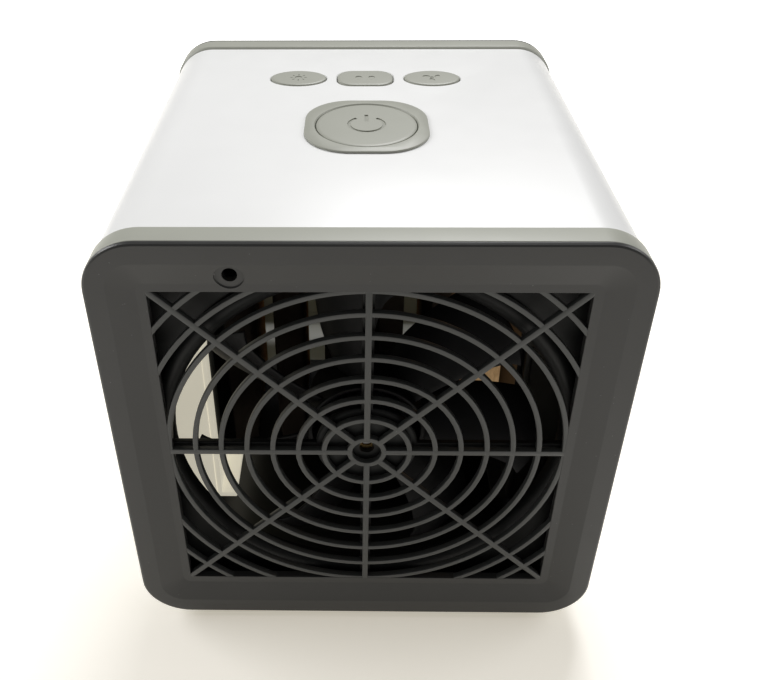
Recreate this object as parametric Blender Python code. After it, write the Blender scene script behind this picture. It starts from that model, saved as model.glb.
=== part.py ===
"""Desktop cube air cooler: a square fan in a rounded box, seen from its rear as the +Y side.

Metres, +Z up. The origin is on the floor, under the middle of the box. The fan's axis is
parallel to Y at the height AXIS_Z. Air enters at +Y and leaves through the louvres at -Y.
"""
import math

import bmesh
import bpy
import numpy as np
from mathutils import Matrix, Vector

MM = 0.001
GAP = 0.3 * MM                      # clearance between touching pieces
CORNER_STEPS = 5                    # straight stretches in one rounded corner

# box
BOX_DEPTH = 172 * MM                # rear face to front face
RIM_HALF = 83 * MM                  # half width of the rims and of both dark frames
RIM_RADIUS = 17 * MM
RIM_STEP = 0.8 * MM                 # how far the rims stand out from the shell
SHELL_HALF = RIM_HALF - RIM_STEP
SHELL_RADIUS = RIM_RADIUS - RIM_STEP
SHELL_WALL = 2.4 * MM
LEDGE_REACH = 2.8 * MM              # inward reach of the shell's ledge behind the shroud
LEDGE_THICK = 2 * MM
FOOT_HEIGHT = 3 * MM
AXIS_Z = RIM_HALF + FOOT_HEIGHT     # height of the fan's axis
REAR_Y = BOX_DEPTH / 2
FRONT_Y = -BOX_DEPTH / 2
RIM_DEPTH = 8.4 * MM
FLANGE = 1.3 * MM                   # thickness of a dark frame at its outer edge
FRAME_CHAMFER = 0.8 * MM

# rear frame and its grille
FRAME_BAND = 7 * MM                 # flat band round a dark frame
FUNNEL_WIDTH = 8 * MM
FUNNEL_LIP = 3 * MM
FUNNEL_OUTER = RIM_HALF - FRAME_BAND
FUNNEL_INNER = FUNNEL_OUTER - FUNNEL_WIDTH
OPENING_HALF = FUNNEL_INNER - FUNNEL_LIP
FUNNEL_RADII = (8.5 * MM, 3 * MM, 0.5 * MM)     # corners of the band, the slope and the opening
FUNNEL_DROP = 2.2 * MM
GRILLE_Y = REAR_Y - FUNNEL_DROP
FRAME_WALL = 2.6 * MM
SKIRT_WALL = 1.6 * MM
SKIRT_OUTER = SHELL_HALF - SHELL_WALL - 0.4 * MM
SKIRT_RADIUS = SHELL_RADIUS - SHELL_WALL - 0.4 * MM
SKIRT_INNER = SKIRT_OUTER - SKIRT_WALL
SKIRT_REACH = 10.9 * MM             # from the rear face to the skirt's inner end
HUB_RING = 5.69 * MM
RING_PITCH = 8.51 * MM
CORNER_MARGIN = 4 * MM              # bare corner of the opening that gets no ring
RING_COUNT = 1 + int((OPENING_HALF * math.sqrt(2) - CORNER_MARGIN - HUB_RING) / RING_PITCH)
RING_WIDTH = 1.75 * MM
SPOKE_WIDTH = 2.1 * MM
SPOKE_COUNT = 8
RIB_DEPTH = 2.3 * MM
RIB_ROOT = 1.6 * MM                 # how far the ribs run into the frame

# supply socket
JACK_X = 40.2 * MM
JACK_Z = AXIS_Z + OPENING_HALF + 5.8 * MM
JACK_HALF = 4.5 * MM
JACK_BELOW = 5 * MM                 # from the bore's middle to the underside of its case
JACK_DEPTH = 11 * MM
JACK_BORE = 2.1 * MM
JACK_BORE_DEPTH = 9 * MM
JACK_PIN = 0.65 * MM
JACK_RECESS = 4.5 * MM
RECESS_DEPTH = 0.5 * MM             # below the frame's lip
JACK_ROOM = 0.5 * MM

# fan
BRACKET_DROP = 2.8 * MM             # from the grille's rear face to the bracket's
BRACKET_Y = GRILLE_Y - BRACKET_DROP
BRACKET_THICK = 2 * MM
BRACKET_HUB = 17 * MM
SHROUD_Y = BRACKET_Y - 6.2 * MM     # rear face of the shroud's plate
SHROUD_PLATE = 2 * MM
SHROUD_BORE = OPENING_HALF
LIP_WIDTH = 7 * MM
LIP_HEIGHT = 3.9 * MM
ARM_WIDTH = 3.8 * MM
ARM_REACH = SKIRT_INNER - GAP
ARM_FOOT = 5.2 * MM                 # length of an arm's foot along the arm
ARM_FOOT_WIDTH = 7 * MM
SCREW_SINK = 1.8 * MM
SCREW_HEAD = 1.7 * MM
SCREW_HEAD_HEIGHT = 1.2 * MM
SCREW_SHANK = 0.9 * MM
SCREW_TIP = 0.7 * MM
MOTOR_RADIUS = 14 * MM
MOTOR_LENGTH = 13 * MM
SHAFT_RADIUS = 1.5 * MM
BUSH_RADIUS = 4 * MM
BUSH_LENGTH = 3.5 * MM
HUB_RADIUS = 20 * MM
HUB_DEPTH = 20 * MM
HUB_WALL = 1.8 * MM
BOSS_RADIUS = 4 * MM
BOSS_LENGTH = 4 * MM
TIP_ROOM = 3.5 * MM                 # between the blade tips and the shroud's bore
BLADE_COUNT = 7
BLADE_START = math.radians(25)      # from +X to the first blade
BLADE_TIP = SHROUD_BORE - TIP_ROOM
BLADE_THICK = 1.3 * MM
BLADE_CAMBER = 2.2 * MM
BLADE_SWEEP = math.radians(10)
BLADE_CHORD_ROOT = 19 * MM
BLADE_CHORD_TIP = 30 * MM
BLADE_PITCH_ROOT = math.radians(50)
BLADE_PITCH_TIP = math.radians(34)
IMPELLER_REAR = SHROUD_Y - 1 * MM
IMPELLER_FRONT = IMPELLER_REAR - HUB_DEPTH

# controls on the top
TOP_Z = AXIS_Z + SHELL_HALF
POWER_RADIUS = 18 * MM
PAD_HALF = POWER_RADIUS + 4 * MM
PAD_RADIUS = POWER_RADIUS - 1.5 * MM
PAD_SEAT = 2 * MM                   # width of the pad's rest on the shell
PAD_RISE = 0.9 * MM
PAD_SKIRT = 4.2 * MM                # from the shell's top to the lower end of the pad's skirt
SMALL_Y = FRONT_Y + 45.3 * MM
POWER_Y = SMALL_Y + 46.5 * MM
SMALL_PITCH = 26.7 * MM
SMALL_HALF_X = 11 * MM
SMALL_HALF_Y = 7.75 * MM
SMALL_RADIUS = 6.4 * MM
BUTTON_RISE = 0.5 * MM
BUTTON_TRAVEL = 1.2 * MM
BUTTON_FLANGE = 1.3 * MM            # how far a button's flange reaches under the shell
FLANGE_THICK = 1.2 * MM
BOARD_DROP = 14.6 * MM              # from the shell's top to the control board
BOARD_Z = TOP_Z - BOARD_DROP
BOARD_HALF = 47 * MM
BOARD_THICK = 1.6 * MM
POST_RADIUS = 2.5 * MM
POST_MARGIN = 5 * MM                # from the board's side to a post's middle
POST_INSET = 6 * MM                 # from the board's end to a post's middle
SWITCH_SIDE = 6 * MM
SWITCH_HEIGHT = 3.5 * MM
BOARD_FRONT = SMALL_Y - 20 * MM
BOARD_REAR = POWER_Y + 26 * MM

# water tray and the bar over it
TRAY_FRONT_HALF = OPENING_HALF - 0.4 * MM
TRAY_HALF = OPENING_HALF - 7 * MM
TRAY_LOW = AXIS_Z - OPENING_HALF + 0.7 * MM
TRAY_HEIGHT = 19.5 * MM
TRAY_TOP = TRAY_LOW + TRAY_HEIGHT
TRAY_DEPTH = 102 * MM
TRAY_WALL = 1.8 * MM
TRAY_PLATE = 3.2 * MM
TRAY_DROP = 3 * MM                  # from the front face to the tray's plate
PLATE_BELOW, PLATE_ABOVE = 0.35 * MM, 0.25 * MM
GRIP_HEIGHT = 11 * MM
GRIP_RADIUS = 5 * MM
GRIP_HALF = 13 * MM
BAR_LOW = TRAY_TOP + PLATE_ABOVE + GAP
BAR_HEIGHT = 4 * MM

# louvres in the front frame
LOUVRE_COUNT = 6
LOUVRE_LOW_Z = BAR_LOW + BAR_HEIGHT + 9.75 * MM
LOUVRE_HIGH_Z = AXIS_Z + OPENING_HALF - 10.5 * MM
LOUVRE_PITCH = (LOUVRE_HIGH_Z - LOUVRE_LOW_Z) / (LOUVRE_COUNT - 1)
LOUVRE_Y = FRONT_Y + 11.8 * MM
LOUVRE_FRONT = 8 * MM               # reach of a vane in front of its axis
LOUVRE_REAR = 5.5 * MM
LOUVRE_THICK = 1.8 * MM
LOUVRE_HALF = OPENING_HALF - 0.5 * MM
LOUVRE_PIN = 1.4 * MM
PIN_ROOM = 0.4 * MM
CHEEK_WALL = 2.5 * MM
LINK_X = OPENING_HALF - 5 * MM
LINK_THICK = 2.5 * MM
LINK_WIDTH = 6 * MM
LINK_PIN = 1.1 * MM
LINK_ARM = 11 * MM                  # from a vane's axis to its link pin
CHEEK_REACH = 20 * MM               # from the front face to the rear end of the cheeks

# evaporative cassette and its guides
CASSETTE_Y = IMPELLER_FRONT - 12.3 * MM
CASSETTE_DEPTH = 54 * MM
CASSETTE_HALF = OPENING_HALF - 6.8 * MM
CASSETTE_BOTTOM = TRAY_TOP + 2.8 * MM
CASSETTE_TOP = BOARD_Z - BOARD_THICK - 6 * MM
CASSETTE_WALL = 2 * MM
PAD_COUNT = 6
PAD_THICK = 10 * MM
PAD_SET_BACK = 2 * MM
GUIDE_FRONT = LOUVRE_Y + LINK_ARM + LINK_WIDTH / 2 + 4 * MM
GUIDE_WALL = 2 * MM
TRAY_SHELF = 6 * MM
CASSETTE_SHELF = 1.6 * MM

FOOT_RADIUS = 7 * MM
FOOT_INSET_X = 22.2 * MM            # from the shell's side to a foot's middle
FOOT_INSET_Y = 26 * MM              # from an end face to a foot's middle


def clearScene():
    for leftover in list(bpy.data.objects):
        bpy.data.objects.remove(leftover, do_unlink=True)


def makeMaterial(name, colour, roughness, metallic=0.0):
    material = bpy.data.materials.new(name)
    material.use_nodes = True
    shader = material.node_tree.nodes["Principled BSDF"]
    shader.inputs["Base Color"].default_value = (*colour, 1)
    shader.inputs["Roughness"].default_value = roughness
    shader.inputs["Metallic"].default_value = metallic
    return material


def addObject(name, mesh, material, place=(0, 0, 0)):
    thing = bpy.data.objects.new(name, mesh)
    bpy.context.scene.collection.objects.link(thing)
    thing.location = place
    if material:
        mesh.materials.append(material)
        mesh.shade_smooth()
        mesh.set_sharp_from_angle(angle=math.radians(35))
    return thing


def meshFrom(name, builder):
    work = bmesh.new()
    builder(work)
    bmesh.ops.recalc_face_normals(work, faces=work.faces)
    mesh = bpy.data.meshes.new(name)
    work.to_mesh(mesh)
    work.free()
    return mesh


def cutWith(thing, cutters, operation="DIFFERENCE"):
    for cutter in cutters:
        cutter.hide_render = True
        cutter.display_type = "WIRE"
        step = thing.modifiers.new(cutter.name, "BOOLEAN")
        step.operation = operation
        step.solver = "EXACT"
        step.object = cutter
    return thing


def roundedOutline(halfWidth, halfHeight, radius):
    points = []
    for corner in range(4):
        middle = (corner + 0.5) * math.pi / 2
        centreU = math.copysign(halfWidth - radius, math.cos(middle))
        centreV = math.copysign(halfHeight - radius, math.sin(middle))
        for step in range(CORNER_STEPS + 1):
            angle = (corner + step / CORNER_STEPS) * math.pi / 2
            points.append((centreU + radius * math.cos(angle), centreV + radius * math.sin(angle)))
    return points


def ellipseOutline(halfWidth, halfHeight, steps=24):
    turns = [2 * math.pi * step / steps for step in range(steps)]
    return [(halfWidth * math.cos(turn), halfHeight * math.sin(turn)) for turn in turns]


def stackLoops(work, loops, closed):
    """Bridge loops of equal length; a closed stack is a ring, an open one gets end caps."""
    rows = [[work.verts.new(point) for point in loop] for loop in loops]
    count = len(rows[0])
    last = len(rows) if closed else len(rows) - 1
    for index in range(last):
        lower, upper = rows[index], rows[(index + 1) % len(rows)]
        for step in range(count):
            after = (step + 1) % count
            work.faces.new((lower[step], lower[after], upper[after], upper[step]))
    if not closed:
        work.faces.new(rows[0])
        work.faces.new(rows[-1])


def squareRing(name, profile, material):
    """Sweep a closed profile of (half width, corner radius, y) round the fan's axis."""
    def build(work):
        loops = []
        for half, radius, y in profile:
            outline = roundedOutline(half, half, radius)
            loops.append([(u, y, AXIS_Z + v) for u, v in outline])
        stackLoops(work, loops, closed=True)
    return addObject(name, meshFrom(name, build), material)


def stackAlongZ(name, stations, material, place=(0, 0, 0)):
    """Close a stack of level outlines, each given with its height."""
    def build(work):
        stackLoops(work, [[(u, v, z) for u, v in outline] for outline, z in stations], closed=False)
    return addObject(name, meshFrom(name, build), material, place)


def box(name, low, high, material=None):
    low, high = Vector(low), Vector(high)
    centre = (low + high) / 2

    def build(work):
        bmesh.ops.create_cube(work, size=1)
        bmesh.ops.scale(work, vec=high - low, verts=work.verts)
    return addObject(name, meshFrom(name, build), material, centre)


def rodAlong(name, start, end, radius, material=None, steps=24):
    start, end = Vector(start), Vector(end)
    turn = (end - start).to_track_quat("Z", "Y").to_matrix().to_4x4()

    def build(work):
        bmesh.ops.create_cone(work, cap_ends=True, segments=steps, radius1=radius, radius2=radius,
                              depth=(end - start).length, matrix=turn)
    return addObject(name, meshFrom(name, build), material, (start + end) / 2)


def turnedLoop(radius, y, steps, height=0):
    """Circle about the Y direction, half a step off the X axis."""
    turns = [2 * math.pi * (step + 0.5) / steps for step in range(steps)]
    return [(radius * math.cos(turn), y, height + radius * math.sin(turn)) for turn in turns]


def turnedAboutY(name, profile, material, steps=28, place=(0, 0, 0)):
    """Turn a closed profile of (radius, y) about the Y axis; no point lies on the axis."""
    def build(work):
        stackLoops(work, [turnedLoop(radius, y, steps) for radius, y in profile], closed=True)
    return addObject(name, meshFrom(name, build), material, place)


def makeShell(material):
    half, inner = SHELL_HALF, SHELL_HALF - SHELL_WALL
    rear = REAR_Y - FLANGE - GAP - RIM_DEPTH - GAP
    front = -rear
    ledgeRear = SHROUD_Y - SHROUD_PLATE - GAP
    ledgeFront = ledgeRear - LEDGE_THICK
    ledgeHalf = inner - LEDGE_REACH
    radius, innerRadius = SHELL_RADIUS, SHELL_RADIUS - SHELL_WALL
    ledgeRadius = innerRadius - LEDGE_REACH
    shell = squareRing("body_shell", [
        (half, radius, rear), (half, radius, front), (inner, innerRadius, front),
        (inner, innerRadius, ledgeFront), (ledgeHalf, ledgeRadius, ledgeFront),
        (ledgeHalf, ledgeRadius, ledgeRear), (inner, innerRadius, ledgeRear),
        (inner, innerRadius, rear)], material)
    reach = (TOP_Z - 10 * MM, TOP_Z + 10 * MM)
    padHole = roundedOutline(PAD_HALF - PAD_SEAT, PAD_HALF - PAD_SEAT, PAD_RADIUS - 0.75 * PAD_SEAT)
    cutters = [stackAlongZ("cut_power_hole", [(padHole, reach[0]), (padHole, reach[1])], None,
                           (0, POWER_Y, 0))]
    for name, x, outline in smallButtonOutlines(GAP):
        cutters.append(stackAlongZ("cut_" + name, [(outline, reach[0]), (outline, reach[1])], None,
                                   (x, SMALL_Y, 0)))
    cutWith(shell, cutters)
    posts = []
    for side in (-1, 1):
        x = side * (BOARD_HALF - POST_MARGIN)
        for y in (BOARD_REAR - POST_INSET, BOARD_FRONT + POST_INSET):
            posts.append(rodAlong("board_post", (x, y, BOARD_Z + GAP), (x, y, TOP_Z - SHELL_WALL / 2),
                                  POST_RADIUS, steps=16))
    return cutWith(shell, posts, "UNION")


def smallButtonOutlines(grow):
    ellipse = ellipseOutline(SMALL_HALF_X + grow, SMALL_HALF_Y + grow)
    oblong = roundedOutline(SMALL_HALF_X + grow, SMALL_HALF_Y + grow, SMALL_RADIUS + grow)
    return [("light_button", SMALL_PITCH, ellipse), ("fan_button", 0, oblong),
            ("speed_button", -SMALL_PITCH, ellipse)]


def makeRims(material):
    inner = SKIRT_OUTER + GAP
    innerRadius = SHELL_RADIUS - SHELL_WALL
    for name, side in (("rear_rim", 1), ("front_rim", -1)):
        outerEnd = side * (REAR_Y - FLANGE - GAP)
        innerEnd = outerEnd - side * RIM_DEPTH
        squareRing(name, [
            (RIM_HALF, RIM_RADIUS, outerEnd), (RIM_HALF, RIM_RADIUS, innerEnd),
            (inner, innerRadius, innerEnd), (inner, innerRadius, outerEnd)], material)


def frameProfile(side, backReach, backHalf):
    """Cross-section of a dark end frame, from its outer edge over the funnel to the skirt."""
    end = side * REAR_Y
    lip = end - side * FUNNEL_DROP
    under = lip - side * FRAME_WALL
    back = end - side * backReach
    skirtEnd = end - side * SKIRT_REACH
    bandRadius, slopeRadius, openingRadius = FUNNEL_RADII
    return [
        (RIM_HALF, RIM_RADIUS, end - side * FLANGE), (RIM_HALF, RIM_RADIUS, end - side * FRAME_CHAMFER),
        (RIM_HALF - FRAME_CHAMFER, RIM_RADIUS - FRAME_CHAMFER, end),
        (FUNNEL_OUTER, bandRadius, end), (FUNNEL_INNER, slopeRadius, lip),
        (OPENING_HALF, openingRadius, lip), (OPENING_HALF, openingRadius, back),
        (backHalf, slopeRadius, back), (backHalf, slopeRadius, under),
        (SKIRT_INNER, SKIRT_RADIUS - SKIRT_WALL, under),
        (SKIRT_INNER, SKIRT_RADIUS - SKIRT_WALL, skirtEnd),
        (SKIRT_OUTER, SKIRT_RADIUS, skirtEnd), (SKIRT_OUTER, SKIRT_RADIUS, end - side * FLANGE)]


def grilleRings():
    front, back = GRILLE_Y - 0.15 * MM, GRILLE_Y - RIB_DEPTH

    def build(work):
        for index in range(RING_COUNT):
            radius = HUB_RING + index * RING_PITCH
            steps = 20 if index < 3 else 32 if index < 6 else 44
            inner, outer = radius - RING_WIDTH / 2, radius + RING_WIDTH / 2
            profile = ((outer, front), (outer, back), (inner, back), (inner, front))
            stackLoops(work, [turnedLoop(size, y, steps, AXIS_Z) for size, y in profile], closed=True)
    return addObject("grille_rings", meshFrom("grille_rings", build), None)


def grilleSpokes():
    reach = (OPENING_HALF + RIB_ROOT - 0.1 * MM) * math.sqrt(2)
    front, back = GRILLE_Y - 0.08 * MM, GRILLE_Y - RIB_DEPTH + 0.2 * MM

    def build(work):
        for index in range(SPOKE_COUNT):
            turn = Matrix.Rotation(-2 * math.pi * index / SPOKE_COUNT, 4, "Y")
            shift = Matrix.Translation((0, 0, AXIS_Z)) @ turn
            middle = Vector(((HUB_RING + reach) / 2, (front + back) / 2, 0))
            size = Matrix.Diagonal((reach - HUB_RING, front - back, SPOKE_WIDTH, 1))
            bmesh.ops.create_cube(work, size=1, matrix=shift @ Matrix.Translation(middle) @ size)
    return addObject("grille_spokes", meshFrom("grille_spokes", build), None)


def makeRearGrille(material):
    frame = squareRing("rear_grille", frameProfile(1, FUNNEL_DROP + FRAME_WALL, FUNNEL_INNER),
                       material)
    rings = grilleRings()
    cutWith(rings, [grilleSpokes()], "UNION")
    edge = OPENING_HALF + RIB_ROOT
    cutWith(rings, [box("grille_limit", (-edge, GRILLE_Y - 9 * MM, AXIS_Z - edge),
                        (edge, GRILLE_Y + 9 * MM, AXIS_Z + edge))], "INTERSECT")
    cutWith(frame, [rings], "UNION")
    floorY = GRILLE_Y - RECESS_DEPTH
    recess = rodAlong("cut_jack_recess", (JACK_X, floorY, JACK_Z), (JACK_X, REAR_Y + 5 * MM, JACK_Z),
                      JACK_RECESS, steps=28)
    bore = rodAlong("cut_jack_bore", (JACK_X, floorY + 1 * MM, JACK_Z),
                    (JACK_X, GRILLE_Y - FRAME_WALL - 1 * MM, JACK_Z), JACK_BORE + 0.2 * MM, steps=20)
    return cutWith(frame, [recess, bore])


def makeJack(material, pinMaterial):
    rear = GRILLE_Y - FRAME_WALL - GAP
    front, floor = rear - JACK_DEPTH, rear - JACK_BORE_DEPTH
    body = box("dc_jack", (JACK_X - JACK_HALF, front, JACK_Z - JACK_BELOW),
               (JACK_X + JACK_HALF, rear, JACK_Z + JACK_HALF), material)
    bore = rodAlong("cut_jack_socket", (JACK_X, floor, JACK_Z), (JACK_X, rear + 1 * MM, JACK_Z),
                    JACK_BORE, steps=20)
    pinBore = rodAlong("cut_jack_pin", (JACK_X, front - 1 * MM, JACK_Z),
                       (JACK_X, floor + 1 * MM, JACK_Z), JACK_PIN + GAP, steps=16)
    cutWith(body, [bore, pinBore])
    rodAlong("jack_pin", (JACK_X, front - 0.5 * MM, JACK_Z), (JACK_X, rear - 1.5 * MM, JACK_Z),
             JACK_PIN, pinMaterial, steps=16)


def makeShroud(material):
    half = SHELL_HALF - SHELL_WALL - GAP
    front = SHROUD_Y - SHROUD_PLATE
    plate = squareRingToBore(half, SHELL_RADIUS - SHELL_WALL - GAP, front, material)
    side = JACK_HALF + JACK_ROOM
    notch = box("cut_jack_notch", (JACK_X - side, front - 1 * MM, JACK_Z - JACK_BELOW - JACK_ROOM),
                (JACK_X + side, SHROUD_Y + 1 * MM, JACK_Z + side))
    cutters = [notch]
    for index in range(4):
        x, z = armPoint(index, ARM_REACH - ARM_FOOT / 2)
        cutters.append(rodAlong("cut_shroud_hole", (x, front - 1 * MM, z), (x, SHROUD_Y + 1 * MM, z),
                                SCREW_SHANK + GAP, steps=16))
    return cutWith(plate, cutters)


def squareRingToBore(half, radius, front, material):
    """The shroud: a square plate whose round bore has a raised bell-mouth lip."""
    steps = 4 * (CORNER_STEPS + 1) * 2

    def circle(size, y):
        return turnedLoop(size, y, steps, AXIS_Z)

    def square(y):
        points = []
        for point in circle(1, y):
            direction = np.array((point[0], point[2] - AXIS_Z))
            points.append(castToSquare(direction, half, radius, y))
        return points

    lipSteps = 5
    lip = []
    for step in range(lipSteps + 1):
        angle = math.pi * step / lipSteps
        across = SHROUD_BORE + LIP_WIDTH / 2 + LIP_WIDTH / 2 * math.cos(angle)
        lip.append(circle(across, SHROUD_Y + LIP_HEIGHT * math.sin(angle)))

    def build(work):
        stackLoops(work, [square(front), square(SHROUD_Y)] + lip + [circle(SHROUD_BORE, front)],
                   closed=True)
    return addObject("fan_shroud", meshFrom("fan_shroud", build), material)


def castToSquare(direction, half, radius, y):
    """Point of a rounded square's outline in a given direction from its centre."""
    u, v = abs(direction[0]), abs(direction[1])
    reach = half / max(u, v)
    core = half - radius
    if u * reach > core and v * reach > core:
        along = core * (u + v)
        reach = along + math.sqrt(along ** 2 - 2 * core ** 2 + radius ** 2)
    return (direction[0] * reach, y, AXIS_Z + direction[1] * reach)


def armPoint(index, distance):
    turn = index * math.pi / 2
    return distance * math.cos(turn), AXIS_Z + distance * math.sin(turn)


def makeBracket(material, screwMaterial):
    back = BRACKET_Y - BRACKET_THICK
    hub = rodAlong("motor_bracket", (0, back, AXIS_Z), (0, BRACKET_Y, AXIS_Z), BRACKET_HUB,
                   material, steps=28)
    armBack, armFront = back + 0.02 * MM, BRACKET_Y - 0.02 * MM
    pieces = []
    for index in range(4):
        turn = Matrix.Rotation(-index * math.pi / 2, 4, "Y")
        start, reach = BRACKET_HUB - 3 * MM, ARM_REACH
        arm = box("bracket_arm", (start, armBack, -ARM_WIDTH / 2), (reach, armFront, ARM_WIDTH / 2))
        foot = box("bracket_foot", (reach - ARM_FOOT, SHROUD_Y + GAP, -ARM_FOOT_WIDTH / 2),
                   (reach + 0.03 * MM, armFront - 0.03 * MM, ARM_FOOT_WIDTH / 2))
        for piece in (arm, foot):
            piece.matrix_world = Matrix.Translation((0, 0, AXIS_Z)) @ turn @ Matrix.Translation(
                piece.location)
            pieces.append(piece)
    cutWith(hub, pieces, "UNION")
    shaftHole = rodAlong("cut_bracket_shaft", (0, back - 1 * MM, AXIS_Z), (0, BRACKET_Y + 1 * MM, AXIS_Z),
                         SHAFT_RADIUS + 1 * MM)
    cutters = [shaftHole]
    for index in range(4):
        x, z = armPoint(index, ARM_REACH - ARM_FOOT / 2)
        cutters.append(rodAlong("cut_arm_hole", (x, SHROUD_Y - 1 * MM, z), (x, BRACKET_Y + 1 * MM, z),
                                SCREW_SHANK + GAP, steps=16))
        cutters.append(rodAlong("cut_arm_sink", (x, BRACKET_Y - SCREW_SINK, z),
                                (x, BRACKET_Y + 1 * MM, z), SCREW_HEAD + GAP, steps=20))
        makeScrew("bracket_screw_%d" % (index + 1), x, z, screwMaterial)
    return cutWith(hub, cutters)


def makeScrew(name, x, z, material):
    """Pan-head screw along Y, sunk in an arm's foot and driven into the shroud's plate."""
    headLow = BRACKET_Y - SCREW_SINK + GAP
    headHigh = headLow + SCREW_HEAD_HEIGHT
    end = SHROUD_Y - SHROUD_PLATE - 0.5 * MM
    profile = [(0.3 * MM, end - SCREW_TIP), (SCREW_SHANK, end), (SCREW_SHANK, headLow),
               (SCREW_HEAD, headLow), (SCREW_HEAD, headHigh - 0.4 * MM), (SCREW_HEAD * 0.7, headHigh)]

    def build(work):
        stackLoops(work, [turnedLoop(radius, y, 16) for radius, y in profile], closed=False)
    return addObject(name, meshFrom(name, build), material, (x, 0, z))


def makeMotor(canMaterial, bushMaterial, shaftMaterial):
    rear = BRACKET_Y - BRACKET_THICK - GAP
    front = rear - MOTOR_LENGTH
    bushBore, bushOuter = SHAFT_RADIUS + GAP, BUSH_RADIUS
    turnedAboutY("motor_can", [
        (MOTOR_RADIUS, rear - 1 * MM), (MOTOR_RADIUS, front + 1 * MM), (MOTOR_RADIUS - 1 * MM, front),
        (bushOuter + GAP, front), (bushOuter + GAP, rear), (MOTOR_RADIUS - 1 * MM, rear)],
        canMaterial, place=(0, 0, AXIS_Z))
    for name, end in (("rear_bush", rear), ("front_bush", front + BUSH_LENGTH)):
        turnedAboutY(name, [(bushOuter, end), (bushOuter, end - BUSH_LENGTH),
                            (bushBore, end - BUSH_LENGTH), (bushBore, end)],
                     bushMaterial, steps=24, place=(0, 0, AXIS_Z))
    rodAlong("motor_shaft", (0, IMPELLER_FRONT + HUB_WALL + GAP, AXIS_Z), (0, rear - 0.5 * MM, AXIS_Z),
             SHAFT_RADIUS, shaftMaterial)


def makeImpeller(material):
    """A cup over the motor with a boss for the shaft, and pitched blades round it."""
    rear, front = IMPELLER_REAR, IMPELLER_FRONT
    inner, boss = HUB_RADIUS - HUB_WALL, BOSS_RADIUS
    bossEnd = front + HUB_WALL + BOSS_LENGTH
    profile = [(0.3 * MM, front), (HUB_RADIUS - 1.5 * MM, front), (HUB_RADIUS, front + 1.5 * MM),
               (HUB_RADIUS, rear), (inner, rear), (inner, front + HUB_WALL), (boss, front + HUB_WALL),
               (boss, bossEnd), (SHAFT_RADIUS + GAP, bossEnd), (SHAFT_RADIUS + GAP, front + HUB_WALL),
               (0.3 * MM, front + HUB_WALL)]

    def build(work):
        stackLoops(work, [turnedLoop(radius, y, 32) for radius, y in profile], closed=False)
    hub = addObject("impeller", meshFrom("impeller", build), material, (0, 0, AXIS_Z))
    middle = (rear + front) / 2
    blades = [bladeAt(index, middle) for index in range(BLADE_COUNT)]
    return cutWith(hub, blades, "UNION")


def bladeAt(index, middle):
    """One blade: sections square to a radius, pitched less and swept more towards the tip."""
    spanSteps, chordSteps = 4, 4
    root = HUB_RADIUS - 1 * MM
    sections = []
    for span in range(spanSteps + 1):
        share = span / spanSteps
        radius = root + (BLADE_TIP - root) * share
        chord = BLADE_CHORD_ROOT + (BLADE_CHORD_TIP - BLADE_CHORD_ROOT) * share
        pitch = BLADE_PITCH_ROOT + (BLADE_PITCH_TIP - BLADE_PITCH_ROOT) * share
        sweep = BLADE_SWEEP * share ** 1.5
        upper, lower = [], []
        for step in range(chordSteps + 1):
            along = (step / chordSteps - 0.5) * chord
            camber = BLADE_CAMBER * (1 - (2 * step / chordSteps - 1) ** 2)
            thick = BLADE_THICK / 2 * (0.35 + 0.65 * (1 - (2 * step / chordSteps - 1) ** 4))
            for offset, side in ((camber + thick, upper), (camber - thick, lower)):
                tangent = along * math.cos(pitch) - offset * math.sin(pitch)
                axial = along * math.sin(pitch) + offset * math.cos(pitch)
                angle = tangent / radius + sweep
                side.append((radius * math.cos(angle), middle + axial, radius * math.sin(angle)))
        sections.append(upper + lower[::-1])

    def build(work):
        stackLoops(work, sections, closed=False)
        start = BLADE_START + 2 * math.pi * index / BLADE_COUNT
        bmesh.ops.rotate(work, cent=(0, 0, 0), matrix=Matrix.Rotation(-start, 3, "Y"), verts=work.verts)
    return addObject("impeller_blade", meshFrom("impeller_blade", build), None, (0, 0, AXIS_Z))


def makeCassette(material, padMaterial):
    front = CASSETTE_Y - CASSETTE_DEPTH
    case = box("filter_cassette", (-CASSETTE_HALF, front, CASSETTE_BOTTOM),
               (CASSETTE_HALF, CASSETTE_Y, CASSETTE_TOP), material)
    inside = CASSETTE_HALF - CASSETTE_WALL
    cutWith(case, [box("cut_cassette", (-inside, front - 1 * MM, CASSETTE_BOTTOM + CASSETTE_WALL),
                       (inside, CASSETTE_Y + 1 * MM, CASSETTE_TOP - CASSETTE_WALL))])
    step = 2 * inside / PAD_COUNT
    for index in range(PAD_COUNT):
        x = -inside + step * (index + 0.5)
        box("filter_pad_%d" % (index + 1),
            (x - PAD_THICK / 2, front + PAD_SET_BACK, CASSETTE_BOTTOM + CASSETTE_WALL + GAP),
            (x + PAD_THICK / 2, CASSETTE_Y - PAD_SET_BACK, CASSETTE_TOP - CASSETTE_WALL - GAP),
            padMaterial)


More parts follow.
